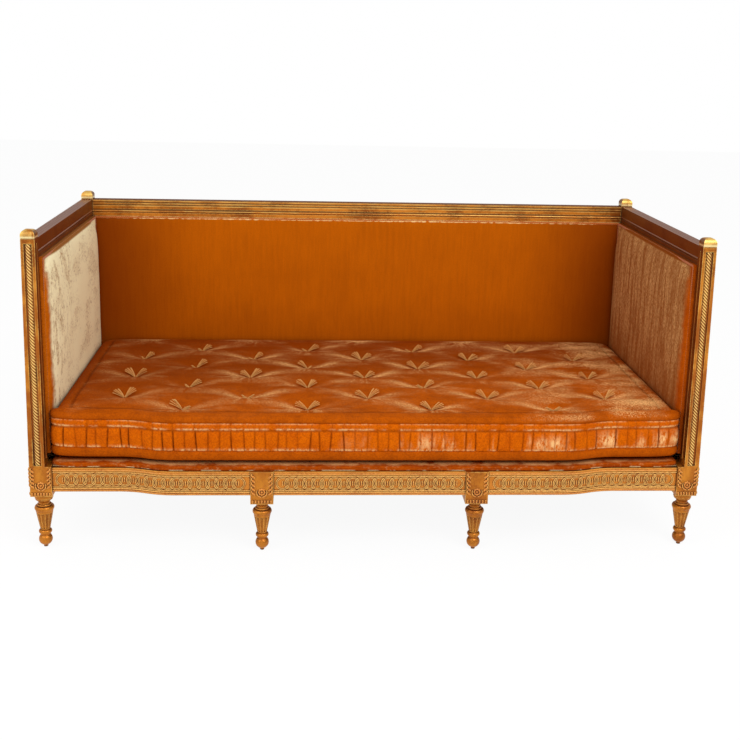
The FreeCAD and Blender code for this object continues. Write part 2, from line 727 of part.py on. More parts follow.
def side_frame(name, half_span, pad_room, lines, turn, origin):
    """One upholstered side: rails, webbing, hessian, pad, gimp and outer cover.

    It is built with its length along x, y from the posts' inner faces outwards, and then turned.
    pad_room is what its pad leaves free at the low end of x.
    """
    pad_rise = cell(f"{name}_pad_rise")
    pad_rounding = cell(f"{name}_pad_rounding")
    pad_proud = cell(f"{name}_pad_proud")
    web_count = cell(f"{name}_web_count")
    face = cell("top_rail_setback")
    outer = face + cell("top_rail_thickness")
    tack_face = face + cell("front_rebate")
    cover_face = outer - cell("back_rebate")
    top = top_rail_top
    bottom = top - cell("top_rail_height")
    tongue_bottom = bottom - cell("tongue_height")
    low_top = cell("lower_rail_bottom") + cell("lower_rail_height")
    ends = (-half_span, half_span)
    parts = {}

    rail = span(f"{name}_rail_bar", ends, (face, outer), (bottom, top))
    tongue = span(f"{name}_rail_tongue", ends, (tack_face, cover_face), (tongue_bottom, bottom))
    bead = rod(f"{name}_rail_bead", cell("rail_bead_radius"), 2 * half_span,
               (-half_span, face + cell("rail_bead_radius") / 2, top - cell("rail_bead_drop")), (1, 0, 0))
    line_y = (face - cell("face_line_depth"), face + cell("face_line_depth"))
    groove_under = span(f"{name}_rail_line_end", ends, line_y,
                        (top - cell("rail_bead_drop") - cell("rail_bead_radius") - cell("face_line_width"),
                         top - cell("rail_bead_drop") - cell("rail_bead_radius") / 2))
    grooves = [groove_under]
    line_end = half_span - cell("face_line_end")
    for word in lines:
        level = top - cell(f"face_line_{word}")
        grooves.append(span(f"{name}_line_{word}", (-line_end, line_end), line_y,
                            (level - cell("face_line_width"), level)))
    reeds = (1, 2, 3)
    reed_gap = cell("top_rail_thickness") / (len(reeds) + 1)
    for number in reeds:
        grooves.append(rod(f"{name}_reed_{number}", cell("top_reed_radius"), 2 * half_span,
                           (-half_span, face + number * reed_gap,
                            top + cell("top_reed_radius") - cell("top_reed_depth")), (1, 0, 0)))
    tenon_middle = (tack_face + cover_face) / 2
    top_joint = tenon_joint(f"{name}_top", (half_span, tenon_middle, (tongue_bottom + top) / 2), (1, 0),
                            "frame", -1)
    top_other = mirrored(f"{name}_top_tenon_left", top_joint["tenon"])
    top_hole = mirrored(f"{name}_top_hole_left", top_joint["hole"])
    plain = less(f"{name}_rail_plain", fused(f"{name}_rail_blank", [rail, tongue]), *grooves)
    parts["top_rail"] = less(f"{name}_top_rail",
                             fused(f"{name}_rail_fused", [plain, bead, top_joint["tenon"], top_other]),
                             top_joint["hole"], top_hole)

    low = span(f"{name}_low_bar", ends, (tack_face, cover_face), (cell("lower_rail_bottom"), low_top))
    low_middle = (cell("lower_rail_bottom") + low_top) / 2
    low_joint = tenon_joint(f"{name}_low", (half_span, tenon_middle, low_middle), (1, 0), "frame", -1)
    low_other = mirrored(f"{name}_low_tenon_left", low_joint["tenon"])
    low_hole = mirrored(f"{name}_low_hole_left", low_joint["hole"])
    parts["lower_rail"] = less(f"{name}_lower_rail",
                               fused(f"{name}_low_fused", [low, low_joint["tenon"], low_other]),
                               low_joint["hole"], low_hole)

    web_face = tack_face - cell("web_thickness")
    hessian_face = web_face - cell("hessian_thickness")
    gap = cell("soft_gap")
    pitch = 2 * half_span / web_count
    webs = []
    for number in range(int(web_count.number)):
        middle = -half_span + pitch * (number + 0.5)
        sides = (middle - cell("web_width") / 2, middle + cell("web_width") / 2)
        webs.append(span(f"{name}_web_{number + 1}", sides, (web_face, tack_face),
                         (low_top - cell("web_lap"), bottom - gap)))
        tack_heights = (bottom - cell("tongue_height") / 2, "top"), (low_top - cell("tack_inset"), "low")
        for height, end in tack_heights:
            tacks.append((f"{name}_tack_{number + 1}_{end}", (middle, web_face, height), turn, origin))
    parts["webbing"] = group(f"{name}_webbing", webs)

    inner_ends = (-half_span + gap, half_span - gap)
    parts["hessian"] = span(f"{name}_hessian", inner_ends, (hessian_face, web_face),
                            (cell("pad_bottom"), bottom - gap))
    slab_face = -pad_proud
    margin = cell("pad_margin")
    pad_ends = (-half_span + pad_room, half_span - gap)
    slab = span(f"{name}_pad_slab", pad_ends, (slab_face, hessian_face), (cell("pad_bottom"), bottom - gap))
    dome_ends = (pad_ends[0] + margin, pad_ends[1] - margin)
    dome = plate(f"{name}_pad_dome",
                 [(dome_ends[0], cell("pad_bottom")), (dome_ends[1], cell("pad_bottom")),
                  (dome_ends[1], bottom - margin), (dome_ends[0], bottom - margin)],
                 as_size(0), pad_rise, [(True, pad_rounding)])
    dome.Placement.Rotation = Rotation(Vector(1, 0, 0), 90)
    place(dome, (0, slab_face, 0))
    parts["pad"] = fused(f"{name}_pad", [slab, dome])
    gimp_face = slab_face - cell("gimp_thickness")
    gimp_top = span(f"{name}_gimp_top", pad_ends, (gimp_face, slab_face),
                    (bottom - gap - cell("gimp_width"), bottom - gap))
    gimp_sides = []
    for word, low_x, high_x in (("left", pad_ends[0], pad_ends[0] + cell("gimp_width")),
                                ("right", pad_ends[1] - cell("gimp_width"), pad_ends[1])):
        gimp_sides.append(span(f"{name}_gimp_{word}", (low_x, high_x), (gimp_face, slab_face),
                               (cell("pad_bottom"), bottom - gap)))
    parts["gimp"] = fused(f"{name}_gimp", [gimp_top] + gimp_sides)
    cover_y = (cover_face, cover_face + cell("cover_thickness"))
    block_room = cell("block_side") - cell("shaft_side") + gap
    hem_ends = (-half_span + block_room, half_span - block_room)
    cover_bottom = cell("block_top") + gap
    cover_sheet = span(f"{name}_cover_sheet", inner_ends, cover_y, (cover_bottom, bottom - gap))
    cover_hem = span(f"{name}_cover_hem", hem_ends, cover_y,
                     (rail_top + cell("web_thickness") + gap, cover_bottom))
    parts["outer_cover"] = fused(f"{name}_outer_cover", [cover_sheet, cover_hem])
    mortises = group(f"{name}_mortises", [top_joint["mortise"], low_joint["mortise"],
                                          mirrored(f"{name}_top_mortise_left", top_joint["mortise"]),
                                          mirrored(f"{name}_low_mortise_left", low_joint["mortise"])])
    holes = group(f"{name}_peg_holes", [top_joint["hole"], low_joint["hole"], top_hole, low_hole])
    side_pegs = group(f"{name}_pegs", [top_joint["peg"], low_joint["peg"],
                                       mirrored(f"{name}_top_peg_left", top_joint["peg"]),
                                       mirrored(f"{name}_low_peg_left", low_joint["peg"])])
    for thing in list(parts.values()) + [mortises, holes, side_pegs]:
        shape_holder = thing
        if thing.TypeId == "Part::Box":
            shape_holder = group(f"{thing.Name}_placed", [thing])
        shape_holder.Placement.Rotation = Rotation(Vector(0, 0, 1), turn)
        place(shape_holder, origin)
        for key, value in parts.items():
            if value is thing:
                parts[key] = shape_holder
    return parts, mortises, holes, side_pegs


def back_studs(tack_face, cover_face):
    """The two uprights of the back, tenoned between its lower rail and its top rail."""
    low = cell("lower_rail_bottom") + cell("lower_rail_height")
    high = top_rail_top - cell("top_rail_height") - cell("tongue_height")
    left = cell("stud_place") - cell("stud_width") / 2
    right = cell("stud_place") + cell("stud_width") / 2
    bar = span("stud_bar", (left, right), (tack_face, cover_face), (low, high))
    length = cell("stud_tenon_length")
    thick = cell("frame_tenon_thickness")
    gap = cell("tenon_gap")
    middle = (tack_face + cover_face) / 2
    tenon_x = (left + length, right - length)
    tenon_y = (middle - thick / 2, middle + thick / 2)
    ends = [span("stud_tenon_low", tenon_x, tenon_y, (low - length, low)),
            span("stud_tenon_high", tenon_x, tenon_y, (high, high + length))]
    slot_x = (tenon_x[0] - gap, tenon_x[1] + gap)
    slot_y = (tenon_y[0] - gap, tenon_y[1] + gap)
    deep = length + cell("mortise_end_gap")
    low_slot = span("stud_mortise_low", slot_x, slot_y, (low - deep, low))
    high_slot = span("stud_mortise_high", slot_x, slot_y, (high, high + deep))
    keep_pair("", "back_stud", fused("stud", [bar] + ends))
    return low_slot, high_slot


# The frame: rails first, since each post takes its mortises from them
joints = seat_rails()
bearer_front, bearer_back = seat_bearers()
side_half = (side_back - side_front) / 2
back_pad_reach = cell("back_pad_proud") + cell("back_pad_rise")
side_parts, side_mortises, side_holes, side_pegs = side_frame(
    "side", side_half, back_pad_reach + 2 * cell("soft_gap"), (), -90, (shaft_inside, middle_depth, 0))
back_parts, back_mortises, back_holes, back_pegs = side_frame(
    "back", shaft_inside, cell("soft_gap"), ("first", "second", "third"), 0, (0, side_back, 0))

post = corner_post()
beaded_post = fused("front_right_beaded", [post, side_bead()])
keep_pair("front_", "post", less("front_right_post", beaded_post, joints["outer"]["mortise"],
                                 joints["side_front"]["mortise"], side_mortises,
                                 joints["outer"]["hole"], joints["side_front"]["hole"], side_holes))
back_blank = mirrored("back_right_blank", post, (0, 1, 0))
bind(back_blank, "Base.y", middle_depth)
keep_pair("back_", "post", less("back_right_post", back_blank, joints["back_outer"]["mortise"],
                                joints["side_back"]["mortise"], side_mortises, back_mortises,
                                joints["back_outer"]["hole"], joints["side_back"]["hole"], side_holes,
                                back_holes))

for word, outer, centre, bearer in (("front", "inner", "centre", bearer_front),
                                    ("back", "back_inner", "back_centre", bearer_back)):
    blank = inner_leg(f"{word}_inner", word == "back")
    keep_pair(f"{word}_", "inner_leg", less(
        f"{word}_right_leg", blank, joints[outer]["mortise"], joints[centre]["mortise"], bearer["mortise"],
        joints[outer]["hole"], joints[centre]["hole"], bearer["hole"]))

keep_pair("", "arm_top_rail", side_parts["top_rail"])
keep_pair("", "arm_lower_rail", side_parts["lower_rail"])
keep_pair("", "arm_webbing", side_parts["webbing"])
keep_pair("", "arm_hessian", side_parts["hessian"])
keep_pair("", "arm_pad", side_parts["pad"])
keep_pair("", "arm_gimp", side_parts["gimp"])
keep_pair("", "arm_outer_cover", side_parts["outer_cover"])

stud_tack_face = side_back + cell("top_rail_setback") + cell("front_rebate")
stud_cover_face = side_back + cell("top_rail_setback") + cell("top_rail_thickness") - cell("back_rebate")
low_slot, high_slot = back_studs(stud_tack_face, stud_cover_face)
keep("back_top_rail", less("back_top_rail_slotted", back_parts["top_rail"], high_slot,
                           mirrored("stud_mortise_high_left", high_slot)))
keep("back_lower_rail", less("back_lower_rail_slotted", back_parts["lower_rail"], low_slot,
                             mirrored("stud_mortise_low_left", low_slot)))
keep("back_webbing", back_parts["webbing"])
keep("back_hessian", back_parts["hessian"])
keep("back_pad", back_parts["pad"])
keep("back_gimp", back_parts["gimp"])
keep("back_outer_cover", back_parts["outer_cover"])


def corner_blocks():
    """Glue blocks in the four corners of the seat frame, each with two screws into its rails."""
    reach = cell("corner_block_reach")
    gap = cell("corner_block_gap")
    height = cell("corner_block_height")
    bottom = (rail_bottom + rail_top - height) / 2
    post_x = block_inside - gap
    post_y = post_front + cell("block_side") + gap
    start_x = block_inside - reach
    end_y = post_front + cell("block_side") + reach
    block = plate("corner_block_front", [(start_x, rail_inside), (post_x, rail_inside), (post_x, post_y),
                                         (side_rail_inside, post_y), (side_rail_inside, end_y)],
                  bottom, height)
    radius = cell("screw_radius")
    head = cell("screw_head_radius")
    hold = cell("screw_hold")
    head_height = cell("screw_head_height")
    level = bottom + height / 2
    screws = []
    shafts = []
    bores = []
    for word, across, direction in (("rail", "x", (0, -1, 0)), ("side", "y", (1, 0, 0))):
        if across == "x":
            spot = (block_inside - cell("screw_place"), rail_inside + hold)
            head_end = (spot[0], spot[1] + head_height)
            bore_start = (spot[0], spot[1] + reach)
        else:
            spot = (side_rail_inside - hold, post_front + cell("block_side") + cell("screw_place"))
            head_end = (spot[0] - head_height, spot[1])
            bore_start = (spot[0] - reach, spot[1])
        shank = rod(f"screw_{word}_shank", radius, hold + cell("screw_bite"), (*spot, level), direction)
        cap = rod(f"screw_{word}_head", head, head_height, (*head_end, level), direction)
        screws.append(fused(f"screw_{word}", [shank, cap]))
        shafts.append(rod(f"screw_{word}_hole", radius + cell("screw_gap"), hold + reach, (*spot, level),
                          direction))
        bores.append(rod(f"screw_{word}_bore", head + cell("screw_gap"), reach, (*bore_start, level),
                         direction))
    drilled = less("corner_block_drilled", block, *shafts, *bores)
    back_drilled = mirrored("corner_block_back", drilled, (0, 1, 0))
    bind(back_drilled, "Base.y", middle_depth)
    back_screws = mirrored("corner_screws_back", group("corner_screws_front", screws), (0, 1, 0))
    bind(back_screws, "Base.y", middle_depth)
    right_blocks = group("corner_blocks_right", [drilled, back_drilled])
    right_screws = group("corner_screws_right", screws + [back_screws])
    keep("corner_blocks", group("corner_blocks_all",
                                [right_blocks, mirrored("corner_blocks_left", right_blocks)]))
    keep("corner_block_screws", group("corner_screws_all",
                                      [right_screws, mirrored("corner_screws_left", right_screws)]))


def forward_step(distance):
    """How far the front rail has stepped forward at that distance from the middle."""
    if distance <= cell("curve_start").number:
        return cell("rail_step")
    if distance >= cell("curve_end").number:
        return as_size(0)
    return cell("rail_step") * (cell("curve_end") - distance) / curve_run


def seat_layers():
    """Webbing, hessian, stuffing and velvet of the fixed deck, and the dust cover under the frame."""
    web = cell("web_width")
    thick = cell("web_thickness")
    lap = cell("web_lap")
    bands = []
    count = cell("cross_web_count")
    pitch = 2 * shaft_inside / count
    for number in range(int(count.number)):
        middle = -shaft_inside + pitch * (number + 0.5)
        near = rail_inside - lap - forward_step(abs(middle.number) + web.number / 2)
        bands.append(span(f"cross_web_{number + 1}", (middle - web / 2, middle + web / 2),
                          (near, back_rail_inside + lap), (rail_top, rail_top + thick)))
        for word, level_y in (("front", near + cell("tack_inset")),
                              ("back", back_rail_inside + lap - cell("tack_inset"))):
            tacks.append((f"cross_tack_{number + 1}_{word}", (middle, level_y, rail_top + thick), None, None))
    keep("seat_webbing_across", group("seat_webbing_across_bands", bands))
    long_bands = []
    long_count = cell("long_web_count")
    start = post_front + cell("block_side")
    long_pitch = (back - cell("block_side") - start) / long_count
    for number in range(int(long_count.number)):
        middle = start + long_pitch * (number + 0.5)
        end = side_rail_inside + lap
        long_bands.append(span(f"long_web_{number + 1}", (-end, end), (middle - web / 2, middle + web / 2),
                               (rail_top + thick, rail_top + 2 * thick)))
        for word, level_x in (("right", end - cell("tack_inset")), ("left", cell("tack_inset") - end)):
            tacks.append((f"long_tack_{number + 1}_{word}", (level_x, middle, rail_top + 2 * thick), None,
                          None))
    keep("seat_webbing_along", group("seat_webbing_along_bands", long_bands))

    gap = cell("soft_gap")
    deck_side = block_inside - gap
    deck_back = side_back - gap
    setback = cell("deck_setback")

    skin = cell("deck_cover_thickness")
    whole_plan = seat_plan(setback, deck_side, deck_back)
    inside_plan = seat_plan(setback + skin, deck_side - skin, deck_back - skin)
    keep("seat_hessian", plate("seat_hessian_sheet", inside_plan, deck_base,
                               cell("hessian_thickness")))
    pad_bottom = deck_base + cell("hessian_thickness")
    pad_top = pad_bottom + cell("deck_pad_height")
    keep("seat_deck_pad", plate("seat_deck_stuffing", inside_plan, pad_bottom, cell("deck_pad_height")))
    shell = plate("deck_cover_outside", whole_plan, rail_top, deck_top - rail_top)
    hollow = plate("deck_cover_hollow", inside_plan, rail_top - gap, pad_top - rail_top + gap)
    bearing = span("deck_cover_side_room", (-half_width, half_width), (rail_inside, back),
                   (rail_top - gap, deck_base + gap))
    keep("seat_deck_cover", less("seat_deck_velvet", shell, hollow, bearing))

    dust = cell("dust_cover_thickness")
    dust_lap = cell("dust_cover_lap")
    dust_x = side_rail_inside + dust_lap
    dust_plan = seat_plan(cell("seat_rail_thickness") - dust_lap, dust_x, back_rail_inside + dust_lap)
    sheet_body = plate("dust_sheet", dust_plan, rail_bottom - dust, dust)
    room = cell("tenon_gap")
    notches = []
    for number, (x_range, y_range) in enumerate((
            ((block_inside - room, half_width), (front, post_front + cell("block_side") + room)),
            ((block_inside - room, half_width), (back - cell("block_side") - room, back)),
            ((inner_leg_left - room, inner_leg_right + room),
             (front, front + cell("inner_block_depth") + room)),
            ((inner_leg_left - room, inner_leg_right + room),
             (back - cell("inner_block_depth") - room, back)))):
        notch = span(f"dust_notch_{number + 1}", x_range, y_range, (rail_bottom - 2 * dust, rail_top))
        notches.extend([notch, mirrored(f"dust_notch_left_{number + 1}", notch)])
    keep("dust_cover", less("dust_cover_sheet", sheet_body, group("dust_notches", notches)))


def mattress():
    """The loose mattress with its tufts above and below and the twine that ties each pair through it."""
    gap = cell("soft_gap")
    bottom = deck_top + gap
    top = bottom + cell("mattress_height")
    pad_face = shaft_inside - cell("side_pad_proud") - cell("side_pad_rise")
    body_side = pad_face - 2 * gap
    ear_side = shaft_inside - cell("mattress_end_gap")
    ear_back = side_front - 2 * gap
    back_face = side_back - cell("back_pad_proud") - cell("back_pad_rise") - 2 * gap
    plan = seat_plan(as_size(0), ear_side, ear_back)
    plan[-1:-1] = [(body_side, ear_back), (body_side, back_face), (-body_side, back_face),
                   (-body_side, ear_back)]
    block = plate("mattress_block", plan, bottom, cell("mattress_height"),
                  [(True, cell("mattress_rounding")), (False, cell("mattress_rounding"))])
    places = []
    rows = int(cell("tuft_row_count").number)
    for row in range(rows):
        in_row = 4 if row % 2 == 0 else 5
        for number in range(in_row):
            places.append((cell("tuft_spacing") * (number - (in_row - 1) / 2),
                           cell("tuft_front_place") + cell("tuft_row_spacing") * row))
    wells = []
    tops = []
    bottoms = []
    ties = []
    bores = []
    sink = cell("tuft_sink")
    thick = cell("tuft_thickness")
    for number, (x, y) in enumerate(places, start=1):
        wells.append(rod(f"tuft_well_top_{number}", cell("tuft_well_radius"), sink, (x, y, top - sink)))
        wells.append(rod(f"tuft_well_low_{number}", cell("tuft_well_radius"), sink / 2, (x, y, bottom)))
        core_low = bottom + sink / 2
        tops.append(rod(f"tuft_top_{number}", cell("tuft_radius"), thick, (x, y, top - sink)))
        bottoms.append(rod(f"tuft_low_{number}", cell("tuft_radius"), thick, (x, y, core_low - thick)))
        core = top - sink - core_low
        bores.append(rod(f"tuft_bore_{number}", cell("tie_radius") + cell("peg_gap"), core, (x, y, core_low)))
        ties.append(rod(f"tuft_tie_{number}", cell("tie_radius"), core, (x, y, core_low)))
    keep("mattress", less("mattress_whole", block, group("tuft_wells", wells), group("tuft_bores", bores)))
    keep("mattress_top_tufts", group("tufts_above", tops))
    keep("mattress_bottom_tufts", group("tufts_below", bottoms))
    keep("mattress_tuft_ties", group("tuft_ties", ties))


def all_pegs():
    """Every peg of the mortise and tenon joints, in one group."""
    right = [joint["peg"] for joint in joints.values()] + [bearer_front["peg"], bearer_back["peg"], side_pegs]
    right_group = group("pegs_right", right)
    keep("joint_pegs", group("pegs_all", [right_group, mirrored("pegs_left", right_group), back_pegs]))


def all_tacks():
    """The tacks that hold the webbing, each a shank with a flat head on the band."""
    solids = []
    shank_length = cell("tack_length")
    for name, spot, turn, origin in tacks:
        direction = (0, 0, -1) if turn is None else (0, 1, 0)
        height = cell("tack_head_height")
        if turn is None:
            head_start = (spot[0], spot[1], spot[2] + height)
        else:
            head_start = (spot[0], spot[1] - height, spot[2])
        shank = rod(f"{name}_shank", cell("tack_radius"), shank_length, spot, direction)
        head = rod(f"{name}_head", cell("tack_head_radius"), height, head_start, direction)
        tack = fused(name, [shank, head])
        if turn is not None:
            tack.Placement.Rotation = Rotation(Vector(0, 0, 1), turn)
            place(tack, origin)
        solids.append(tack)
        if turn is not None and turn != 0:
            solids.append(mirrored(f"{name}_left", tack))
    keep("upholstery_tacks", group("tacks_all", solids))


corner_blocks()
seat_layers()
mattress()
all_pegs()
all_tacks()
doc.recompute()

faulty = [thing.Name for thing in doc.Objects if {"Invalid", "Error"} & set(thing.State)]
if faulty:
    raise RuntimeError(f"objects that failed: {faulty}")
os.makedirs("parts", exist_ok=True)
for name, thing in sorted(pieces.items()):
    shape = thing.Shape
    if shape.isNull() or not shape.isValid():
        raise RuntimeError(f"{name} has no valid shape")
    shape.exportStep(f"parts/{name}.step")
print(len(pieces), "pieces")
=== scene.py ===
"""A giltwood recamier in orange velvet: three sides of one height, a fixed deck and a loose tufted mattress.

Every length is in metres. X runs to the right, the open front faces -Y, Z is up and the floor is at 0.
"""
import logging
import math
from dataclasses import dataclass
from enum import Enum
from functools import partialmethod

import bmesh
import bpy
import numpy as np
from mathutils import Matrix, Vector


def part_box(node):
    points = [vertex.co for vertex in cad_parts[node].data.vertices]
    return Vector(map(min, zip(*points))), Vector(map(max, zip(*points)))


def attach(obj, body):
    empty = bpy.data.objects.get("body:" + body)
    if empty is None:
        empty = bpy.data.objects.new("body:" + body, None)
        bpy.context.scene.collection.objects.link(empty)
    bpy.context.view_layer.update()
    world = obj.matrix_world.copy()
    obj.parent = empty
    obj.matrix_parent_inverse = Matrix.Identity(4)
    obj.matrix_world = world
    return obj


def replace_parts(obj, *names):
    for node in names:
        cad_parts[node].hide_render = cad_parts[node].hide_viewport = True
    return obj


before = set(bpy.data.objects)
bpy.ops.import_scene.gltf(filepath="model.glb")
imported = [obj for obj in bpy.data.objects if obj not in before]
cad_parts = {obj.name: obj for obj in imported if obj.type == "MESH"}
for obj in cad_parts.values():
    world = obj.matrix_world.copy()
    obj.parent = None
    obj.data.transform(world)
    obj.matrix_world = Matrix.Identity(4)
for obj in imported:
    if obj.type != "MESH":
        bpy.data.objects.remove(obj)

log = logging.getLogger("recamier")

Colour = tuple[float, float, float, float]
Triple = tuple[float, float, float]
Span = tuple[float, float]
Mesh = tuple[np.ndarray, np.ndarray]

WHITE: Colour = (1.0, 1.0, 1.0, 1.0)
SAME_POINT = 2e-6


def tone(red: int, green: int, blue: int) -> Colour:
    """A colour as it shows on a screen, made linear by the sRGB curve.

    Args:
        red: From 0 to 255.
        green: From 0 to 255.
        blue: From 0 to 255.

    Returns:
        The linear colour with full alpha.
    """
    parts = [value / 255 for value in (red, green, blue)]
    return (*(p / 12.92 if p <= 0.04045 else ((p + 0.055) / 1.055) ** 2.4 for p in parts), 1.0)


# Shader helpers


class Socket:
    """A value in a material's node tree that Python's arithmetic works on; a.top(b) is the larger of two."""

    def __init__(self, paint: "Paint", link: bpy.types.NodeSocket) -> None:
        """Keeps the tree's painter and the output that carries the value."""
        self.paint = paint
        self.link = link

    def maths(self, operation: str, *others: "Socket | float", swapped: bool = False) -> "Socket":
        """One Math node on this value and the others, in that order unless swapped."""
        terms = (*others, self) if swapped else (self, *others)
        node = self.paint.node("ShaderNodeMath", {"operation": operation}, dict(enumerate(terms)))
        return Socket(self.paint, node.outputs[0])

    __add__ = partialmethod(maths, "ADD")
    __radd__ = partialmethod(maths, "ADD", swapped=True)
    __sub__ = partialmethod(maths, "SUBTRACT")
    __rsub__ = partialmethod(maths, "SUBTRACT", swapped=True)
    __mul__ = partialmethod(maths, "MULTIPLY")
    __rmul__ = partialmethod(maths, "MULTIPLY", swapped=True)
    __truediv__ = partialmethod(maths, "DIVIDE")
    __abs__ = partialmethod(maths, "ABSOLUTE")
    top = partialmethod(maths, "MAXIMUM")

    def bell(self) -> "Socket":
        """exp(-value squared), 1 in the middle and soft on both sides."""
        return (self * self * -1.0).maths("EXPONENT")

    def wrapped(self, half: float) -> "Socket":
        """The value repeated over a period of twice half, from -half to half."""
        return self.maths("WRAP", half, -half)

    def step(self, low: float, high: float) -> "Socket":
        """A smooth step from 0 at low to 1 at high, or the other way where low is above high.

        Args:
            low: Where the step starts.
            high: Where it ends.

        Returns:
            The mask.
        """
        turned = low > high
        node = self.paint.node(
            "ShaderNodeMapRange", {"interpolation_type": "SMOOTHSTEP"},
            {0: self, 1: min(low, high), 2: max(low, high), 3: float(turned), 4: float(not turned)})
        return Socket(self.paint, node.outputs[0])


class Paint:
    """The node tree of one material, or of the world."""

    def __init__(self, owner: bpy.types.Material | bpy.types.World) -> None:
        """Empties its owner's tree."""
        owner.use_nodes = True
        self.owner = owner
        self.tree = owner.node_tree
        self.tree.nodes.clear()

    def node(self, kind: str, settings: dict | None = None, inputs: dict | None = None) -> bpy.types.Node:
        """Adds a node.

        Args:
            kind: Its type.
            settings: Its own properties, set first.
            inputs: A number, colour or Socket for each input, by name or place.

        Returns:
            The node.
        """
        node = self.tree.nodes.new(kind)
        for name, value in (settings or {}).items():
            setattr(node, name, value)
        for key, value in (inputs or {}).items():
            if isinstance(value, Socket):
                self.tree.links.new(value.link, node.inputs[key])
            else:
                node.inputs[key].default_value = value
        return node

    def out(self, node: bpy.types.Node, output: int | str = 0) -> Socket:
        """One output of a node as a Socket."""
        return Socket(self, node.outputs[output])

    def place(self, stretch: Triple = (1, 1, 1)) -> Socket:
        """The point on the piece in the row's frame, each axis multiplied by its stretch."""
        spot = self.out(self.node("ShaderNodeTexCoord"), "Object")
        return self.out(self.node("ShaderNodeMapping", None, {"Vector": spot, "Scale": stretch}))

    def axes(self) -> tuple[Socket, Socket, Socket]:
        """The three parts of the point on the piece."""
        return self.split(self.place())

    def attribute(self, name: str) -> Socket:
        """A value that the piece's points carry."""
        return self.out(self.node("ShaderNodeAttribute", {"attribute_name": name}), 2)

    def facing(self) -> tuple[Socket, Socket, Socket]:
        """The three parts of the surface's own direction."""
        return self.split(self.out(self.node("ShaderNodeTexCoord"), "Normal"))

    def split(self, vector: Socket) -> tuple[Socket, Socket, Socket]:
        """The three parts of a vector."""
        node = self.node("ShaderNodeSeparateXYZ", None, {0: vector})
        return self.out(node, 0), self.out(node, 1), self.out(node, 2)

    def noise(self, scale: float, detail: float = 3.0, rough: float = 0.55,
              at: Socket | Triple = (1, 1, 1)) -> Socket:
        """Soft random values from 0 to 1 around a half.

        Args:
            scale: How many to the metre.
            detail: How many finer layers it has.
            rough: How strong each finer layer is.
            at: How the point on the piece is stretched, or a vector in its place.

        Returns:
            The values.
        """
        vector = at if isinstance(at, Socket) else self.place(at)
        return self.out(self.node("ShaderNodeTexNoise", None, {
            "Vector": vector, "Scale": scale, "Detail": detail, "Roughness": rough}))

    def mix(self, factor: Socket | float, low: Socket | Colour, high: Socket | Colour) -> Socket:
        """The colour low where factor is 0 and high where it is 1."""
        node = self.node("ShaderNodeMix", {"data_type": "RGBA", "clamp_factor": True},
                         {0: factor, 6: low, 7: high})
        return self.out(node, 2)

    def shade(self, reach: float, inside: bool) -> Socket:
        """How much of the hemisphere is closed off within reach, from 0 to 1.

        Args:
            reach: How far it looks, in metres.
            inside: Looks into the material, which finds its outer edges, rather than out of it.

        Returns:
            The mask of hollows, or of edges.
        """
        node = self.node("ShaderNodeAmbientOcclusion", {"samples": 6, "inside": inside, "only_local": inside},
                         {"Distance": reach})
        return 1 - self.out(node, "AO")

    def bump(self, height: Socket, depth: float, strength: float = 1.0) -> Socket:
        """The direction of a surface with that relief, depth metres from 0 to 1."""
        return self.out(self.node("ShaderNodeBump", None, {
            "Height": height, "Distance": depth, "Strength": strength}))

    def finish(self, base: Socket | Colour, rough: Socket | float, relief: Socket,
               metallic: Socket | float = 0.0, constants: dict | None = None) -> None:
        """Joins the values to the surface shader and the output.

        Args:
            base: The colour.
            rough: The roughness.
            relief: The bumped direction.
            metallic: How much of it is metal.
            constants: Other inputs, each the same all over.
        """
        shader = self.node("ShaderNodeBsdfPrincipled", None, {
            "Base Color": base, "Roughness": rough, "Normal": relief, "Metallic": metallic,
            **(constants or {})})
        self.node("ShaderNodeOutputMaterial", None, {"Surface": self.out(shader)})


# Finishes


@dataclass(frozen=True)
class Finish:
    """What a surface is made of."""

    label: str

    def material(self) -> bpy.types.Material:
        """The finish's material, made the first time it is asked for."""
        made = bpy.data.materials.get(self.label)
        if made is None:
            made = bpy.data.materials.new(self.label)
            self.dress(Paint(made))
        return made

    def dress(self, paint: Paint) -> None:
        """Adds the finish's nodes."""
        raise NotImplementedError


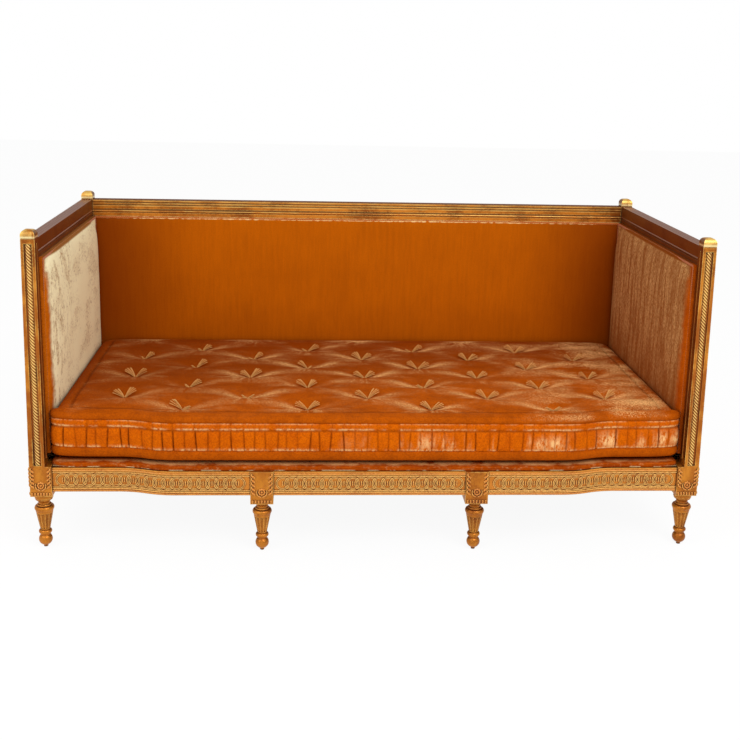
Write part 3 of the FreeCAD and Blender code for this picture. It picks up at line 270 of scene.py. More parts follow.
@dataclass(frozen=True)
class Gilt(Finish):
    """Water gilding over red bole: painted highlights on its edges, and dust with painted shade dark in its
    hollows.
    """

    leaf: Colour = tone(228, 146, 44)
    deep: Colour = tone(170, 92, 16)
    bright: Colour = tone(255, 212, 116)
    bole: Colour = tone(132, 50, 24)
    dust_and_shade: Colour = tone(64, 28, 4)
    wear: float = 0.3
    metal: float = 0.7
    reach: float = 0.013
    edge_reach: float = 0.0035
    dust_and_shade_span: Span = (0.28, 0.86)

    def extra(self, paint: Paint, colour: Socket) -> Socket:
        """Changes that one kind of piece has; none on plain gilding."""
        return colour

    def dress(self, paint: Paint) -> None:
        """Leaf mottled by two noises, then a painted highlight on the edges, bole where it is worn, dust and
        painted shade in the hollows.
        """
        broad = paint.noise(11.0, 4.0)
        fine = paint.noise(150.0, 4.0, 0.65)
        grit = paint.noise(620.0, 2.0)
        hollow = paint.shade(self.reach, inside=False)
        edge = paint.shade(self.edge_reach, inside=True)
        colour = paint.mix((fine * 0.3 + broad * 0.7).step(0.36, 0.6), self.deep, self.leaf)
        # Painted highlight: convex edges found by occlusion inside the piece turn to the bright colour.
        colour = paint.mix((edge * 1.7).step(0.25, 0.95) * fine.step(0.25, 0.55), colour, self.bright)
        worn = (broad * 0.5 + fine * 0.5).step(0.55, 0.66) * self.wear
        colour = paint.mix(worn, colour, self.bole)
        # Dust and painted shade: hollows found by occlusion darken towards one brown, and turn rougher and
        # less metallic.
        dust_and_shade_mask = (hollow * (0.75 + fine * 0.7)).step(*self.dust_and_shade_span)
        colour = paint.mix(dust_and_shade_mask, colour, self.dust_and_shade)
        colour = self.extra(paint, colour)
        rough = 0.3 + fine * 0.22 + dust_and_shade_mask * 0.3 + worn * 0.2
        relief = paint.bump(fine * 0.7 + grit * 0.3, 0.0003, 0.5)
        paint.finish(colour, rough, relief, self.metal * (1 - dust_and_shade_mask * 0.6) * (1 - worn * 0.5))


@dataclass(frozen=True)
class PostGilt(Gilt):
    """The gilding of the posts: a painted highlight on each cap and round its foot, amber lower down, painted
    shade brown inside.
    """

    cap_highlight: Colour = tone(255, 236, 176)
    cap_highlight_at: float = 0.9425
    cap_highlight_width: float = 0.0030
    cap: Span = (0.938, 0.941)
    amber: Colour = tone(170, 88, 10)
    amber_fade: Span = (0.93, 0.72)
    leg_top: Span = (0.2, 0.3)
    inner: Colour = tone(112, 52, 6)
    shaft_foot: Span = (0.27, 0.3)

    def extra(self, paint: Paint, colour: Socket) -> Socket:
        """A painted highlight on the cap, amber under it, painted shade brown on faces turned to the seat,
        and a broken painted highlight band.
        """
        x, _, z = paint.axes()
        across, _, _ = paint.facing()
        cloud = paint.noise(30.0, 4.0, at=(1, 1, 0.4))
        low = z.step(*self.amber_fade) * (0.3 + z.step(*self.leg_top) * 0.6)
        colour = paint.mix(low * cloud.step(0.36, 0.6), colour, self.amber)
        # Painted highlight: the cap is mixed towards the bright colour.
        colour = paint.mix(z.step(*self.cap) * cloud.step(0.35, 0.6) * 0.8, colour, self.bright)
        # Painted shade: faces turned towards the seat, above the shaft's foot, are mixed to a dark brown.
        inward = (across * x * -1.0).step(0.35, 0.8) * z.step(*self.shaft_foot)
        colour = paint.mix(inward * 0.85, colour, self.inner)
        # Painted highlight: a broken pale band round the foot of each cap.
        band = ((z - self.cap_highlight_at) / self.cap_highlight_width).bell() * cloud.step(0.3, 0.5)
        return paint.mix(band * 0.9, colour, self.cap_highlight)


@dataclass(frozen=True)
class RopeGilt(Gilt):
    """The rope's gilding: a painted highlight on each strand, painted shade dark between them."""

    gap_shade: Colour = tone(84, 36, 2)

    def extra(self, paint: Paint, colour: Socket) -> Socket:
        """The strands' own height, carried by the points, chooses between the two."""
        crest = paint.attribute("crest")
        # Painted highlight on the strands' crests and painted shade in the hollows between them, chosen by
        # the strands' height.
        colour = paint.mix(crest.step(0.8, 1.0) * 0.8, colour, self.bright)
        return paint.mix(crest.step(0.82, 0.45), colour, self.gap_shade)


@dataclass(frozen=True)
class RailGilt(Gilt):
    """The top rails: gold on the face, a greyer top, brown over the faces, painted highlight lines and
    painted shade in the grooves.
    """

    top: Colour = tone(158, 112, 92)
    face: Colour = tone(190, 128, 40)
    face_strength: float = 0.0
    line: Colour = tone(246, 200, 108)
    line_width: float = 0.0016
    lines: tuple[float, ...] = ()
    groove_above: float = 0.004
    groove_width: float = 0.0018

    def extra(self, paint: Paint, colour: Socket) -> Socket:
        """The upward faces take the top's colour in long streaks, the rest the face's, with painted highlight
        lines and painted shade in the grooves above them.

        Args:
            paint: The tree.
            colour: The gilding's colour up to here.

        Returns:
            The rail's colour.
        """
        _, _, up = paint.facing()
        _, _, z = paint.axes()
        streak = paint.noise(6.0, 4.0, at=(40, 2.5, 40))
        if self.face_strength:
            colour = paint.mix(self.face_strength, colour, self.face)
        # Painted highlight lines along the moulding, broken by noise, and painted shade in the groove above
        # each.
        wear_and_sheen = paint.noise(12.0, 4.0, at=(1, 1, 6)).step(0.4, 0.56)
        for height in self.lines:
            line = ((z - height) / self.line_width).bell()
            colour = paint.mix(line * (0.2 + wear_and_sheen * 0.6), colour, self.line)
            groove = ((z - height - self.groove_above) / self.groove_width).bell()
            colour = paint.mix(groove * 0.75, colour, self.dust_and_shade)
        return paint.mix(up.step(0.3, 0.75) * (0.55 + streak * 0.6), colour, self.top)


@dataclass(frozen=True)
class Velvet(Finish):
    """Silk velvet: a saturated ground, painted pale in places where its laid-over pile catches the light:
    painted sheen, partly real wear.
    """

    ground: Colour = tone(214, 96, 0)
    deep: Colour = tone(160, 58, 0)
    wear_and_sheen: Colour = tone(236, 180, 116)
    streak: Triple = (1, 1, 1)
    scale: float = 26.0
    wear_and_sheen_amount: float = 0.25
    mottle: float = 1.0
    grain: float = 0.3
    nap_depth: float = 0.0009
    shadow: Colour = tone(110, 34, 0)
    shadow_reach: float = 0.035

    def wear_and_sheen_mask(self, paint: Paint, nap: Socket) -> Socket:
        """Where the laid-over pile is painted pale, as painted sheen and partly real wear, from 0 to 1."""
        return nap.step(0.5, 0.72) * self.wear_and_sheen_amount

    def colour(self, paint: Paint, nap: Socket) -> Socket:
        """The velvet's colour before the painted sheen and wear of its pile."""
        return paint.mix(nap.step(0.66, 0.3) * self.mottle, self.ground, self.deep)

    def dress(self, paint: Paint) -> None:
        """Streaks and clouds give the ground, a mask the painted sheen of the laid-over pile; hollows take
        painted shade, noise bumps.
        """
        streaks = paint.noise(self.scale, 6.0, 0.7, at=self.streak)
        cloud = paint.noise(7.0, 5.0, 0.6)
        pile = paint.noise(900.0, 2.0)
        grain = paint.noise(210.0, 4.0, 0.7)
        nap = streaks * 0.62 + cloud * 0.38
        wear_and_sheen = self.wear_and_sheen_mask(paint, nap)
        base = paint.mix(grain.step(0.56, 0.4) * self.grain, self.colour(paint, nap), self.shadow)
        # Painted sheen, partly real wear: the laid-over pile is mixed towards a pale colour.
        base = paint.mix(wear_and_sheen, base, self.wear_and_sheen)
        # Painted shade: hollows found by occlusion darken towards the shadow colour.
        hollow = paint.shade(self.shadow_reach, inside=False).step(0.3, 0.85)
        base = paint.mix(hollow * 0.6, base, self.shadow)
        relief = paint.bump(streaks * 0.4 + pile * 0.6, self.nap_depth, 0.5)
        paint.finish(base, 0.82 - wear_and_sheen * 0.15, relief, 0.0, {"Specular IOR Level": 0.05})


@dataclass(frozen=True)
class TuftGrid:
    """The rows of tufts, of four and five by turns from the front."""

    spacing: float = 0.374
    row_spacing: float = 0.108
    first_row: float = -0.36
    rows: int = 7
    counts: tuple[int, int] = (4, 5)

    def places(self) -> np.ndarray:
        """x and y of every tuft."""
        places = []
        for row in range(self.rows):
            count = self.counts[row % 2]
            x = self.spacing * (np.arange(count) - (count - 1) / 2)
            places.append(np.stack([x, np.full(count, self.first_row + row * self.row_spacing)], axis=-1))
        return np.concatenate(places)


@dataclass(frozen=True)
class MattressVelvet(Velvet):
    """The mattress's top: pale arcs painted where each tuft's near lip has turned the pile over, a painted
    highlight.
    """

    groove_shade: Colour = tone(84, 32, 0)
    tufts: TuftGrid = TuftGrid()
    wing_ahead: float = 0.014
    wing_rise: float = 0.042
    wing_width: float = 0.075
    wing_reach: float = 0.12
    streak_reach: float = 0.095

    def turned_pile_sheen(self, paint: Paint, x: Socket, y: Socket, shift: float, row: int) -> Socket:
        """The painted highlight of the turned pile round the tufts in every other row.

        A wing runs from in front of each tuft outwards and back, y = rise (1 - exp(-(x / width)^2)) - ahead,
        and streaks that radiate from the tuft fade on its near side.

        Args:
            paint: The tree.
            x: Place along the mattress.
            y: Place from its front to its back.
            shift: Where one tuft of the row stands, along x.
            row: The first of these rows.

        Returns:
            The mask.
        """
        along = (x - shift).wrapped(self.tufts.spacing / 2)
        across = (y - (self.tufts.first_row + row * self.tufts.row_spacing)).wrapped(self.tufts.row_spacing)
        cell = (x - along) * 7 + (y - across) * 31
        far = (along * along + across * across).maths("SQRT")
        turn = across.maths("ARCTAN2", along)
        polar = paint.out(paint.node("ShaderNodeCombineXYZ", None, {0: turn * 3.2, 1: far * 9.0, 2: cell}))
        streak = paint.noise(1.5, 4.0, 0.62, at=polar)
        line = across + self.wing_ahead - self.wing_rise * (1 - (along / self.wing_width).bell())
        wing = (line / (0.009 + abs(along) * 0.14)).bell() * (along / self.wing_reach).bell()
        lip = streak.step(0.36, 0.66) * (far / self.streak_reach).bell() * across.step(0.025, -0.014)
        return (wing * (0.5 + streak * 0.9)).top(lip)

    def wear_and_sheen_mask(self, paint: Paint, nap: Socket) -> Socket:
        """The painted sheen of the turned pile of both sets of rows, broken by fine fibres, over a light
        all-over painted sheen and wear.
        """
        x, y, z = paint.axes()
        fibres = paint.noise(230.0, 4.0, 0.72, at=(1, 2.0, 1))
        clouds = paint.noise(7.0, 4.0, at=(0.6, 1.2, 1))
        # Painted highlight: pale wings and streaks where the pile turns at each tuft's near lip.
        turned = self.turned_pile_sheen(paint, x, y, self.tufts.spacing / 2, 0).top(self.turned_pile_sheen(paint, x, y, 0.0, 1))
        inside = abs(x).step(0.91, 0.85) * z.step(0.400, 0.415) * y.step(-0.44, -0.40)
        broken = fibres.step(0.42, 0.6)
        patchy = (0.15 + clouds.step(0.4, 0.54) * 0.95) * (0.45 + x.step(-0.85, -0.2) * 0.55)
        right = x.step(0.25, 0.8) * clouds.step(0.42, 0.58)
        overall = (fibres * 0.6 + clouds * 0.4).step(0.5, 0.6) * z.step(0.41, 0.43)
        return (turned * inside * patchy * (0.1 + broken)).top(overall * (0.02 + right * 0.85))

    def colour(self, paint: Paint, nap: Socket) -> Socket:
        """The ground darkens towards the back, where the sides shade it, and painted shade darkens the
        stitched seam's groove.
        """
        x, y, _ = paint.axes()
        shaded = (y - x * 0.25).step(-0.36, 0.2)
        base = paint.mix(shaded * 0.8, super().colour(paint, nap), self.deep)
        # Painted shade in the stitched seam's groove.
        return paint.mix(paint.attribute("seam") * 0.7, base, self.groove_shade)


@dataclass(frozen=True)
class BorderVelvet(Velvet):
    """The mattress's border: painted shade dark along its ladder stitches, painted sheen pale by both rolls
    and beside some stitches.
    """

    groove_shade: Colour = tone(92, 36, 0)
    low_seam: float = 0.323
    middle: float = 0.345
    high_seam: float = 0.3865
    roll_seam: float = 0.4055

    def wear_and_sheen_mask(self, paint: Paint, nap: Socket) -> Socket:
        """Painted sheen pale by the rolls and where the bands swell, broken by fine noise, and more of it to
        the right.
        """
        x, _, z = paint.axes()
        fibres = paint.noise(120.0, 5.0, 0.7, at=(1, 1, 0.5))
        patch = paint.noise(16.0, 3.0, at=(1, 1, 0.2))
        low = ((z - self.low_seam) / 0.005).bell() * 0.8
        high = ((z - self.high_seam) / 0.0035).bell().top(((z - self.roll_seam) / 0.003).bell() * 0.6)
        middle = ((z - self.middle) / 0.022).bell() * x.step(-0.2, 0.35) * patch.step(0.46, 0.6)
        pale = (low.top(high) * patch.step(0.38, 0.55)).top(middle * 0.9)
        # Painted sheen of the crushed pile, kept off the stitches.
        return pale * fibres.step(0.36, 0.56) * (1 - paint.attribute("stitch")) * 0.95

    def colour(self, paint: Paint, nap: Socket) -> Socket:
        """Painted shade darkens the stitches' grooves and the seams."""
        # Painted shade in the stitch and seam grooves.
        return paint.mix(paint.attribute("stitch") * 0.75, super().colour(paint, nap), self.groove_shade)


class Nap(Enum):
    """How the pile of an arm's pad lies as seen from the front."""

    TOWARDS = "towards"
    AWAY = "away"


@dataclass(frozen=True)
class ArmVelvet(Velvet):
    """An arm's pad: nearly all of it crushed and painted pale as sheen, with short upright marks, and orange
    at its front edge.
    """

    nap: Nap = Nap.TOWARDS
    front_edge: Span = (-0.406, -0.376)
    top_edge: Span = (0.872, 0.866)
    under: Colour = tone(150, 80, 16)
    under_strength: float = 0.0

    def behind(self, paint: Paint) -> Socket:
        """1 behind the pad's rounded front edge and 0 on it, with a ragged limit."""
        _, y, _ = paint.axes()
        wander = paint.noise(9.0, 4.0) * 0.03 + paint.noise(60.0, 3.0) * 0.02
        return (y - wander).step(*self.front_edge)

    def colour(self, paint: Paint, nap: Socket) -> Socket:
        """The ground is browner behind the front edge."""
        return paint.mix(self.behind(paint) * self.under_strength, super().colour(paint, nap), self.under)

    def wear_and_sheen_mask(self, paint: Paint, nap: Socket) -> Socket:
        """Painted sheen of the crushed pile, all over for one lie of the pile and in streaks for the other,
        never at the front edge.
        """
        _, y, z = paint.axes()
        marks = paint.noise(110.0, 5.0, 0.75, at=(1, 0.8, 1.0))
        patch = paint.noise(12.0, 5.0, 0.65, at=(1, 0.5, 1.0))
        folds = paint.noise(18.0, 4.0, at=(1, 2.0, 0.8))
        # Painted sheen: how pale the crushed pile shows depends on which way it lies as seen from the front.
        if self.nap is Nap.TOWARDS:
            bare = marks.step(0.5, 0.64) * patch.step(0.40, 0.6)
            fold = folds.step(0.5, 0.6) * (y - z * 0.3).step(-0.25, -0.5)
            fold = fold * (0.4 + marks.step(0.44, 0.56) * 0.6)
            crushed = (1 - bare * 0.6) * (1 - fold * 0.55) * (1 - patch.step(0.5, 0.64) * 0.2)
        else:
            fine = paint.noise(190.0, 5.0, 0.75, at=(1, 1.5, 0.6))
            streaks = paint.noise(26.0, 5.0, 0.65, at=(1, 1.6, 0.22))
            crushed = fine.step(0.3, 0.7) * (0.35 + streaks.step(0.36, 0.62) * 0.65)
            crushed = crushed * (0.3 + z.step(0.36, 0.66) * 0.7)
        return crushed * self.behind(paint) * z.step(*self.top_edge)


@dataclass(frozen=True)
class BackVelvet(Velvet):
    """The back's panel: faint upright striations, with painted shade darker towards its ends and its foot."""

    rail_line: Span = (0.8735, 0.8765)
    ends: Span = (0.5, 0.98)
    foot: Span = (0.62, 0.42)

    def wear_and_sheen_mask(self, paint: Paint, nap: Socket) -> Socket:
        """A ragged pale line right under the rail."""
        _, _, z = paint.axes()
        ragged = paint.noise(55.0, 4.0)
        return (z + ragged * 0.008).step(*self.rail_line) * ragged.step(0.35, 0.55) * 0.8

    def colour(self, paint: Paint, nap: Socket) -> Socket:
        """Ends and foot fall off towards the deep tone as painted shade."""
        x, _, z = paint.axes()
        ends = abs(x).step(*self.ends)
        foot = z.step(*self.foot) * 0.3
        # Painted shade towards the panel's ends and foot.
        return paint.mix(ends.top(foot) * 0.75, super().colour(paint, nap), self.deep)


@dataclass(frozen=True)
class DeckVelvet(Velvet):
    """The deck: its top crushed, its lip bright, and a worn pale line where the lip meets the rail."""

    worn: Colour = tone(255, 232, 176)
    worn_line: Span = (0.2625, 0.2605)
    lip: Span = (0.2765, 0.2815)
    lip_behind: Span = (-0.40, -0.425)

    def wear_and_sheen_mask(self, paint: Paint, nap: Socket) -> Socket:
        """The upper part of the lip, and a little of the top behind it."""
        _, y, z = paint.axes()
        patch = paint.noise(22.0, 4.0, at=(1, 1, 4))
        fibres = paint.noise(90.0, 4.0, 0.7, at=(1, 3, 1))
        # Painted sheen and wear: the crushed upper lip and patches of the top go pale.
        lip = (z + patch * 0.008).step(*self.lip) * patch.step(0.3, 0.5) * y.step(*self.lip_behind)
        return lip.top(fibres.step(0.5, 0.66) * patch.step(0.4, 0.6) * 0.3)

    def colour(self, paint: Paint, nap: Socket) -> Socket:
        """Dashes of the pale line, some centimetres long."""
        _, _, z = paint.axes()
        dashes = paint.noise(24.0, 3.0, at=(1, 0.2, 0.2)).step(0.5, 0.58)
        return paint.mix(z.step(*self.worn_line) * dashes, super().colour(paint, nap), self.worn)


@dataclass(frozen=True)
class Braid(Finish):
    """Gimp or twine: fine diagonal strands in two tones."""

    light: Colour = tone(222, 120, 30)
    dark: Colour = tone(140, 56, 4)
    strand: float = 900.0

    def dress(self, paint: Paint) -> None:
        """Strands run across the sum of the three axes."""
        x, y, z = paint.axes()
        wave = ((x + y + z) * self.strand).maths("SINE") * 0.5 + 0.5
        loose = paint.noise(260.0, 3.0)
        base = paint.mix(wave * 0.7 + loose * 0.3, self.dark, self.light)
        paint.finish(base, 0.8 - loose * 0.1, paint.bump(wave, 0.0005, 0.7), 0.0, {"Sheen Weight": 0.2})


@dataclass(frozen=True)
class Weave(Finish):
    """A plain woven cloth: threads over and under each other, slightly uneven."""

    light: Colour = tone(196, 170, 128)
    dark: Colour = tone(120, 98, 66)
    threads: float = 900.0

    def dress(self, paint: Paint) -> None:
        """Two sets of sine threads cross, and the product of their signs says which lies on top."""
        x, y, z = paint.axes()
        first = ((x + z * 0.6) * self.threads).maths("SINE")
        second = ((y + z * 0.8) * self.threads).maths("SINE")
        cross = first * second * 0.5 + 0.5
        loose = paint.noise(60.0, 4.0)
        base = paint.mix(cross * 0.6 + loose * 0.4, self.dark, self.light)
        paint.finish(base, 0.85 + loose * 0.1, paint.bump(cross, 0.0004, 0.6))


@dataclass(frozen=True)
class Timber(Finish):
    """Planed wood with long grain along X."""

    light: Colour = tone(176, 134, 88)
    dark: Colour = tone(120, 80, 44)

    def dress(self, paint: Paint) -> None:
        """Stretched noise makes the grain, and finer noise its pores."""
        grain = paint.noise(5.0, 5.0, 0.65, at=(1.5, 22, 22))
        pores = paint.noise(6.0, 2.0, at=(8, 120, 120))
        base = paint.mix(grain.step(0.32, 0.68), self.dark, self.light)
        paint.finish(base, 0.55 + pores * 0.2, paint.bump(grain * 0.6 + pores * 0.4, 0.0004, 0.4))


@dataclass(frozen=True)
class Steel(Finish):
    """Blued steel of tacks and screws."""

    def dress(self, paint: Paint) -> None:
        """Dark metal with a little rust in its noise."""
        cloud = paint.noise(180.0, 3.0)
        base = paint.mix(cloud.step(0.45, 0.7), tone(78, 76, 78), tone(110, 74, 52))
        paint.finish(base, 0.35 + cloud * 0.3, paint.bump(cloud, 0.0002, 0.3), 0.9)


@dataclass(frozen=True)
class Ribbon(Finish):
    """The flat tan ribbon of the tufts, with lengthwise threads."""

    light: Colour = tone(244, 184, 104)
    dark: Colour = tone(176, 112, 48)
    gap_shade: Colour = tone(80, 40, 8)
    gap_reach: float = 0.004

    def dress(self, paint: Paint) -> None:
        """Fine noise mottles the tan, and painted shade darkens it where the ribbon is closed in."""
        cloud = paint.noise(420.0, 4.0, 0.7, at=(1, 1, 3))
        base = paint.mix(cloud.step(0.3, 0.7), self.dark, self.light)
        # Painted shade: where occlusion finds the ribbon closed in, it darkens.
        base = paint.mix(paint.shade(self.gap_reach, inside=False).step(0.25, 0.8) * 0.8, base, self.gap_shade)
        paint.finish(base, 0.6 + cloud * 0.2, paint.bump(cloud, 0.0003, 0.5))


POST_GILT = PostGilt("gilt_posts", leaf=tone(220, 140, 40), deep=tone(146, 74, 8), dust_and_shade=tone(58, 24, 2),
                     reach=0.008, dust_and_shade_span=(0.14, 0.56), metal=0.65)
ROPE_GILT = RopeGilt("gilt_rope", leaf=tone(240, 164, 62), deep=tone(206, 122, 34),
                     bright=tone(255, 222, 136), reach=0.003, metal=0.45)
CARVED_GILT = Gilt("gilt_carving", leaf=tone(224, 138, 46), deep=tone(186, 100, 26),
                   bright=tone(255, 192, 100), dust_and_shade=tone(90, 36, 8), reach=0.005, dust_and_shade_span=(0.16, 0.6),
                   metal=0.3)
RAIL_GILT = Gilt("gilt_seat_rails", leaf=tone(222, 138, 42), deep=tone(184, 104, 26),
                 bright=tone(255, 198, 96), reach=0.006, dust_and_shade_span=(0.12, 0.5), metal=0.55)
BACK_RAIL_GILT = RailGilt("gilt_back_rail", leaf=tone(220, 134, 36), deep=tone(150, 78, 10),
                          top=tone(120, 66, 30), lines=(0.9325, 0.9235, 0.9145, 0.8975))
ARM_RAIL_GILT = RailGilt("gilt_arm_rails", face=tone(98, 40, 2), face_strength=0.85)
BACK_VELVET = BackVelvet("velvet_back", ground=tone(198, 98, 0), deep=tone(112, 40, 0), streak=(4, 1, 0.3),
                         scale=30.0, wear_and_sheen=tone(255, 220, 150), mottle=0.25, grain=0.1, nap_depth=0.0003)
# The two pads differ in how pale their crushed pile is painted: painted sheen for how each pile lies as seen
# from the front.
LEFT_VELVET = ArmVelvet("velvet_left_arm", wear_and_sheen=tone(255, 242, 196), ground=tone(206, 104, 6),
                        deep=tone(180, 88, 4), nap_depth=0.0004, under=tone(150, 102, 50),
                        under_strength=0.85)
RIGHT_VELVET = ArmVelvet("velvet_right_arm", wear_and_sheen=tone(230, 176, 112), ground=tone(194, 88, 4),
                         deep=tone(170, 70, 0), nap_depth=0.0004, nap=Nap.AWAY, under=tone(134, 66, 8),
                         under_strength=0.9)
TOP_VELVET = MattressVelvet("velvet_mattress", ground=tone(194, 88, 0), deep=tone(134, 54, 0),
                            wear_and_sheen=tone(255, 200, 128), mottle=0.6, nap_depth=0.0004)
BORDER_VELVET = BorderVelvet("velvet_border", ground=tone(220, 104, 0), deep=tone(196, 84, 0),
                             wear_and_sheen=tone(255, 206, 140), nap_depth=0.0004)
DECK_VELVET = DeckVelvet("velvet_deck", ground=tone(188, 82, 0), deep=tone(134, 46, 0), streak=(0.4, 4, 4))
OUTER_VELVET = Velvet("velvet_outside", ground=tone(200, 92, 6), deep=tone(132, 52, 2), streak=(5, 5, 0.4),
                      wear_and_sheen_amount=0.1, mottle=0.25, nap_depth=0.0004)
GIMP = Braid("gimp_braid")
TWINE = Braid("tie_twine", light=tone(210, 180, 130), dark=tone(150, 116, 70))
JUTE = Weave("jute_webbing", threads=700.0)
HESSIAN = Weave("hessian_cloth", light=tone(190, 156, 106), dark=tone(112, 84, 50))
DUST_CLOTH = Weave("black_dust_cloth", light=tone(58, 54, 50), dark=tone(26, 24, 22), threads=1600.0)
BARE_WOOD = Timber("bare_beech")
STEEL = Steel("blued_steel")
RIBBON = Ribbon("tuft_ribbon")


# Mesh helpers


def circle(count: int) -> np.ndarray:
    """Even angles once round, the last one step short of the first."""
    return np.linspace(0, 2 * math.pi, count, endpoint=False)


def spread(*parts: np.ndarray | float) -> np.ndarray:
    """Arrays of like or lesser shape side by side on a new last axis."""
    return np.stack(np.broadcast_arrays(*parts), axis=-1)


def lattice(points: np.ndarray, wrap_rows: bool = False, wrap_columns: bool = False) -> Mesh:
    """Quads over a grid of points.

    Args:
        points: Shape (rows, columns, 3 or more); columns after x, y and z are values the points carry.
        wrap_rows: Joins the last row to the first.
        wrap_columns: Joins the last column to the first.

    Returns:
        The points in one list and the quads.
    """
    rows, columns = points.shape[:2]
    index = np.arange(rows * columns).reshape(rows, columns)
    if wrap_rows:
        index = np.vstack([index, index[:1]])
    if wrap_columns:
        index = np.hstack([index, index[:, :1]])
    quads = np.stack([index[:-1, :-1], index[:-1, 1:], index[1:, 1:], index[1:, :-1]], axis=-1)
    return points.reshape(-1, points.shape[-1]), quads.reshape(-1, 4)


def tube(points: np.ndarray) -> Mesh:
    """A closed tube over rings of points, each end drawn in to the middle of its ring."""
    ends = [np.broadcast_to(ring.mean(axis=0), ring.shape)[None] for ring in (points[0], points[-1])]
    return lattice(np.concatenate([ends[0], points, ends[1]]), wrap_columns=True)


def joined(meshes: list[Mesh]) -> Mesh:
    """Several meshes as one list of points and one of quads."""
    starts = np.cumsum([0] + [len(points) for points, _ in meshes[:-1]])
    quads = [faces + start for (_, faces), start in zip(meshes, starts)]
    return np.concatenate([points for points, _ in meshes]), np.concatenate(quads)


def rim(sheet: np.ndarray) -> np.ndarray:
    """The edge of a grid of points, once round from its first corner."""
    return np.concatenate([sheet[:, 0], sheet[-1, 1:], sheet[-2::-1, -1], sheet[0, -2:0:-1]])


def slab(top: np.ndarray, walls: list[np.ndarray], bottom: np.ndarray) -> Mesh:
    """A closed slab: a grid of points, loops of its rim on the way down, and the grid below."""
    loops = np.stack([rim(top), *walls, rim(bottom)])
    return joined([lattice(top), lattice(loops, wrap_columns=True), lattice(bottom)])


def normals(loop: np.ndarray) -> np.ndarray:
    """Outward directions in plan along a closed loop of points."""
    slope = (np.roll(loop, -1, axis=0) - np.roll(loop, 1, axis=0))[:, :2]
    normal = np.stack([slope[:, 1], -slope[:, 0]], axis=-1)
    return normal / np.linalg.norm(normal, axis=1, keepdims=True)


def walled(top: np.ndarray, wall: np.ndarray, bottom: np.ndarray) -> Mesh:
    """A slab whose wall has a section of its own.

    Args:
        top: Points of the top, (columns, rows, 3 or more).
        wall: (outward, height) of each row of the wall from the top down.
        bottom: Points of the bottom, the same grid in plan.

    Returns:
        The mesh.
    """
    edge = rim(top)
    normal = normals(edge)
    return slab(top, [np.concatenate([edge[:, :2] + normal * outward, np.full((len(edge), 1), height),
                                      0 * edge[:, 3:]], axis=1) for outward, height in wall], bottom)


def repeated(faces: np.ndarray, placed: np.ndarray) -> Mesh:
    """One shape's faces over many copies of its points, placed with shape (copies, points, 3)."""
    copies, count = placed.shape[:2]
    shifts = (np.arange(copies) * count)[:, None, None]
    return placed.reshape(-1, 3), (faces[None] + shifts).reshape(-1, 4)


def graded(count: int, size: float, edge: float) -> np.ndarray:
    """Values from 0 to 1, closer together near both ends: t - k sin(2 pi t), with steps of edge there.

    Args:
        count: How many.
        size: The length that 0 to 1 stands for.
        edge: The first step, in metres.

    Returns:
        The values.
    """
    even = np.linspace(0, 1, count)
    shrink = 1 - edge / size * (count - 1)
    return even - max(shrink, 0) / (2 * math.pi) * np.sin(2 * math.pi * even)


def place(name: str, data: bpy.types.Mesh, material: bpy.types.Material) -> bpy.types.Object:
    """Puts a mesh of that material into the scene."""
    data.materials.append(material)
    piece = bpy.data.objects.new(name, data)
    bpy.context.scene.collection.objects.link(piece)
    return piece


def make(name: str, mesh: Mesh, body: str, finish: Finish, crease: float = 50.0,
         carried: tuple[str, ...] = ()) -> bpy.types.Object:
    """Makes a piece of the scene, its doubled points merged and its faces turned outwards.

    Args:
        name: The piece's name.
        mesh: Its points and quads.
        body: The body it rides on.
        finish: Its finish.
        crease: Edges sharper than this, in degrees, aren't smoothed.
        carried: Names for the columns of the points after x, y and z.

    Returns:
        The object.
    """
    points, faces = mesh
    data = bpy.data.meshes.new(name)
    data.from_pydata(points[:, :3].tolist(), [], faces.tolist())
    for column, attribute in enumerate(carried, start=3):
        values = np.ascontiguousarray(points[:, column], dtype=np.float32)
        data.attributes.new(attribute, "FLOAT", "POINT").data.foreach_set("value", values)
    worked = bmesh.new()
    worked.from_mesh(data)
    bmesh.ops.remove_doubles(worked, verts=worked.verts, dist=SAME_POINT)
    bmesh.ops.recalc_face_normals(worked, faces=worked.faces)
    worked.to_mesh(data)
    worked.free()
    data.shade_smooth()
    data.set_sharp_from_angle(angle=math.radians(crease))
    piece = place(name, data, finish.material())
    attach(piece, body)
    log.info("%s: %d faces", name, len(data.polygons))
    return piece


@dataclass(frozen=True)
class Stance:
    """A place to build on a face: across, up and out of it."""

    origin: Triple
    across: Triple
    out: Triple

    def world(self, local: np.ndarray) -> np.ndarray:
        """Points given as across, up (Z) and out, in the row's frame."""
        axes = np.array([self.across, (0.0, 0.0, 1.0), self.out])
        return np.array(self.origin) + local @ axes


FRONT = ((1.0, 0.0, 0.0), (0.0, -1.0, 0.0))


@dataclass(frozen=True)
class FrontLine:
    """The front of the seat in plan: a straight middle that steps back to the ends in two S curves."""

    near: float = -0.461
    step: float = 0.030
    start: float = 0.575
    end: float = 0.745

    def at(self, x: np.ndarray) -> np.ndarray:
        """y of the front at x: two equal arcs that meet half way, each level where it ends."""
        run = self.end - self.start
        radius = (run**2 + self.step**2) / (4 * self.step)
        reach = np.clip(np.abs(x) - self.start, 0, run)
        first = radius - np.sqrt(radius**2 - reach**2)
        second = self.step - radius + np.sqrt(radius**2 - (run - reach) ** 2)
        return self.near + np.where(reach < run / 2, first, second)


# The carved frame


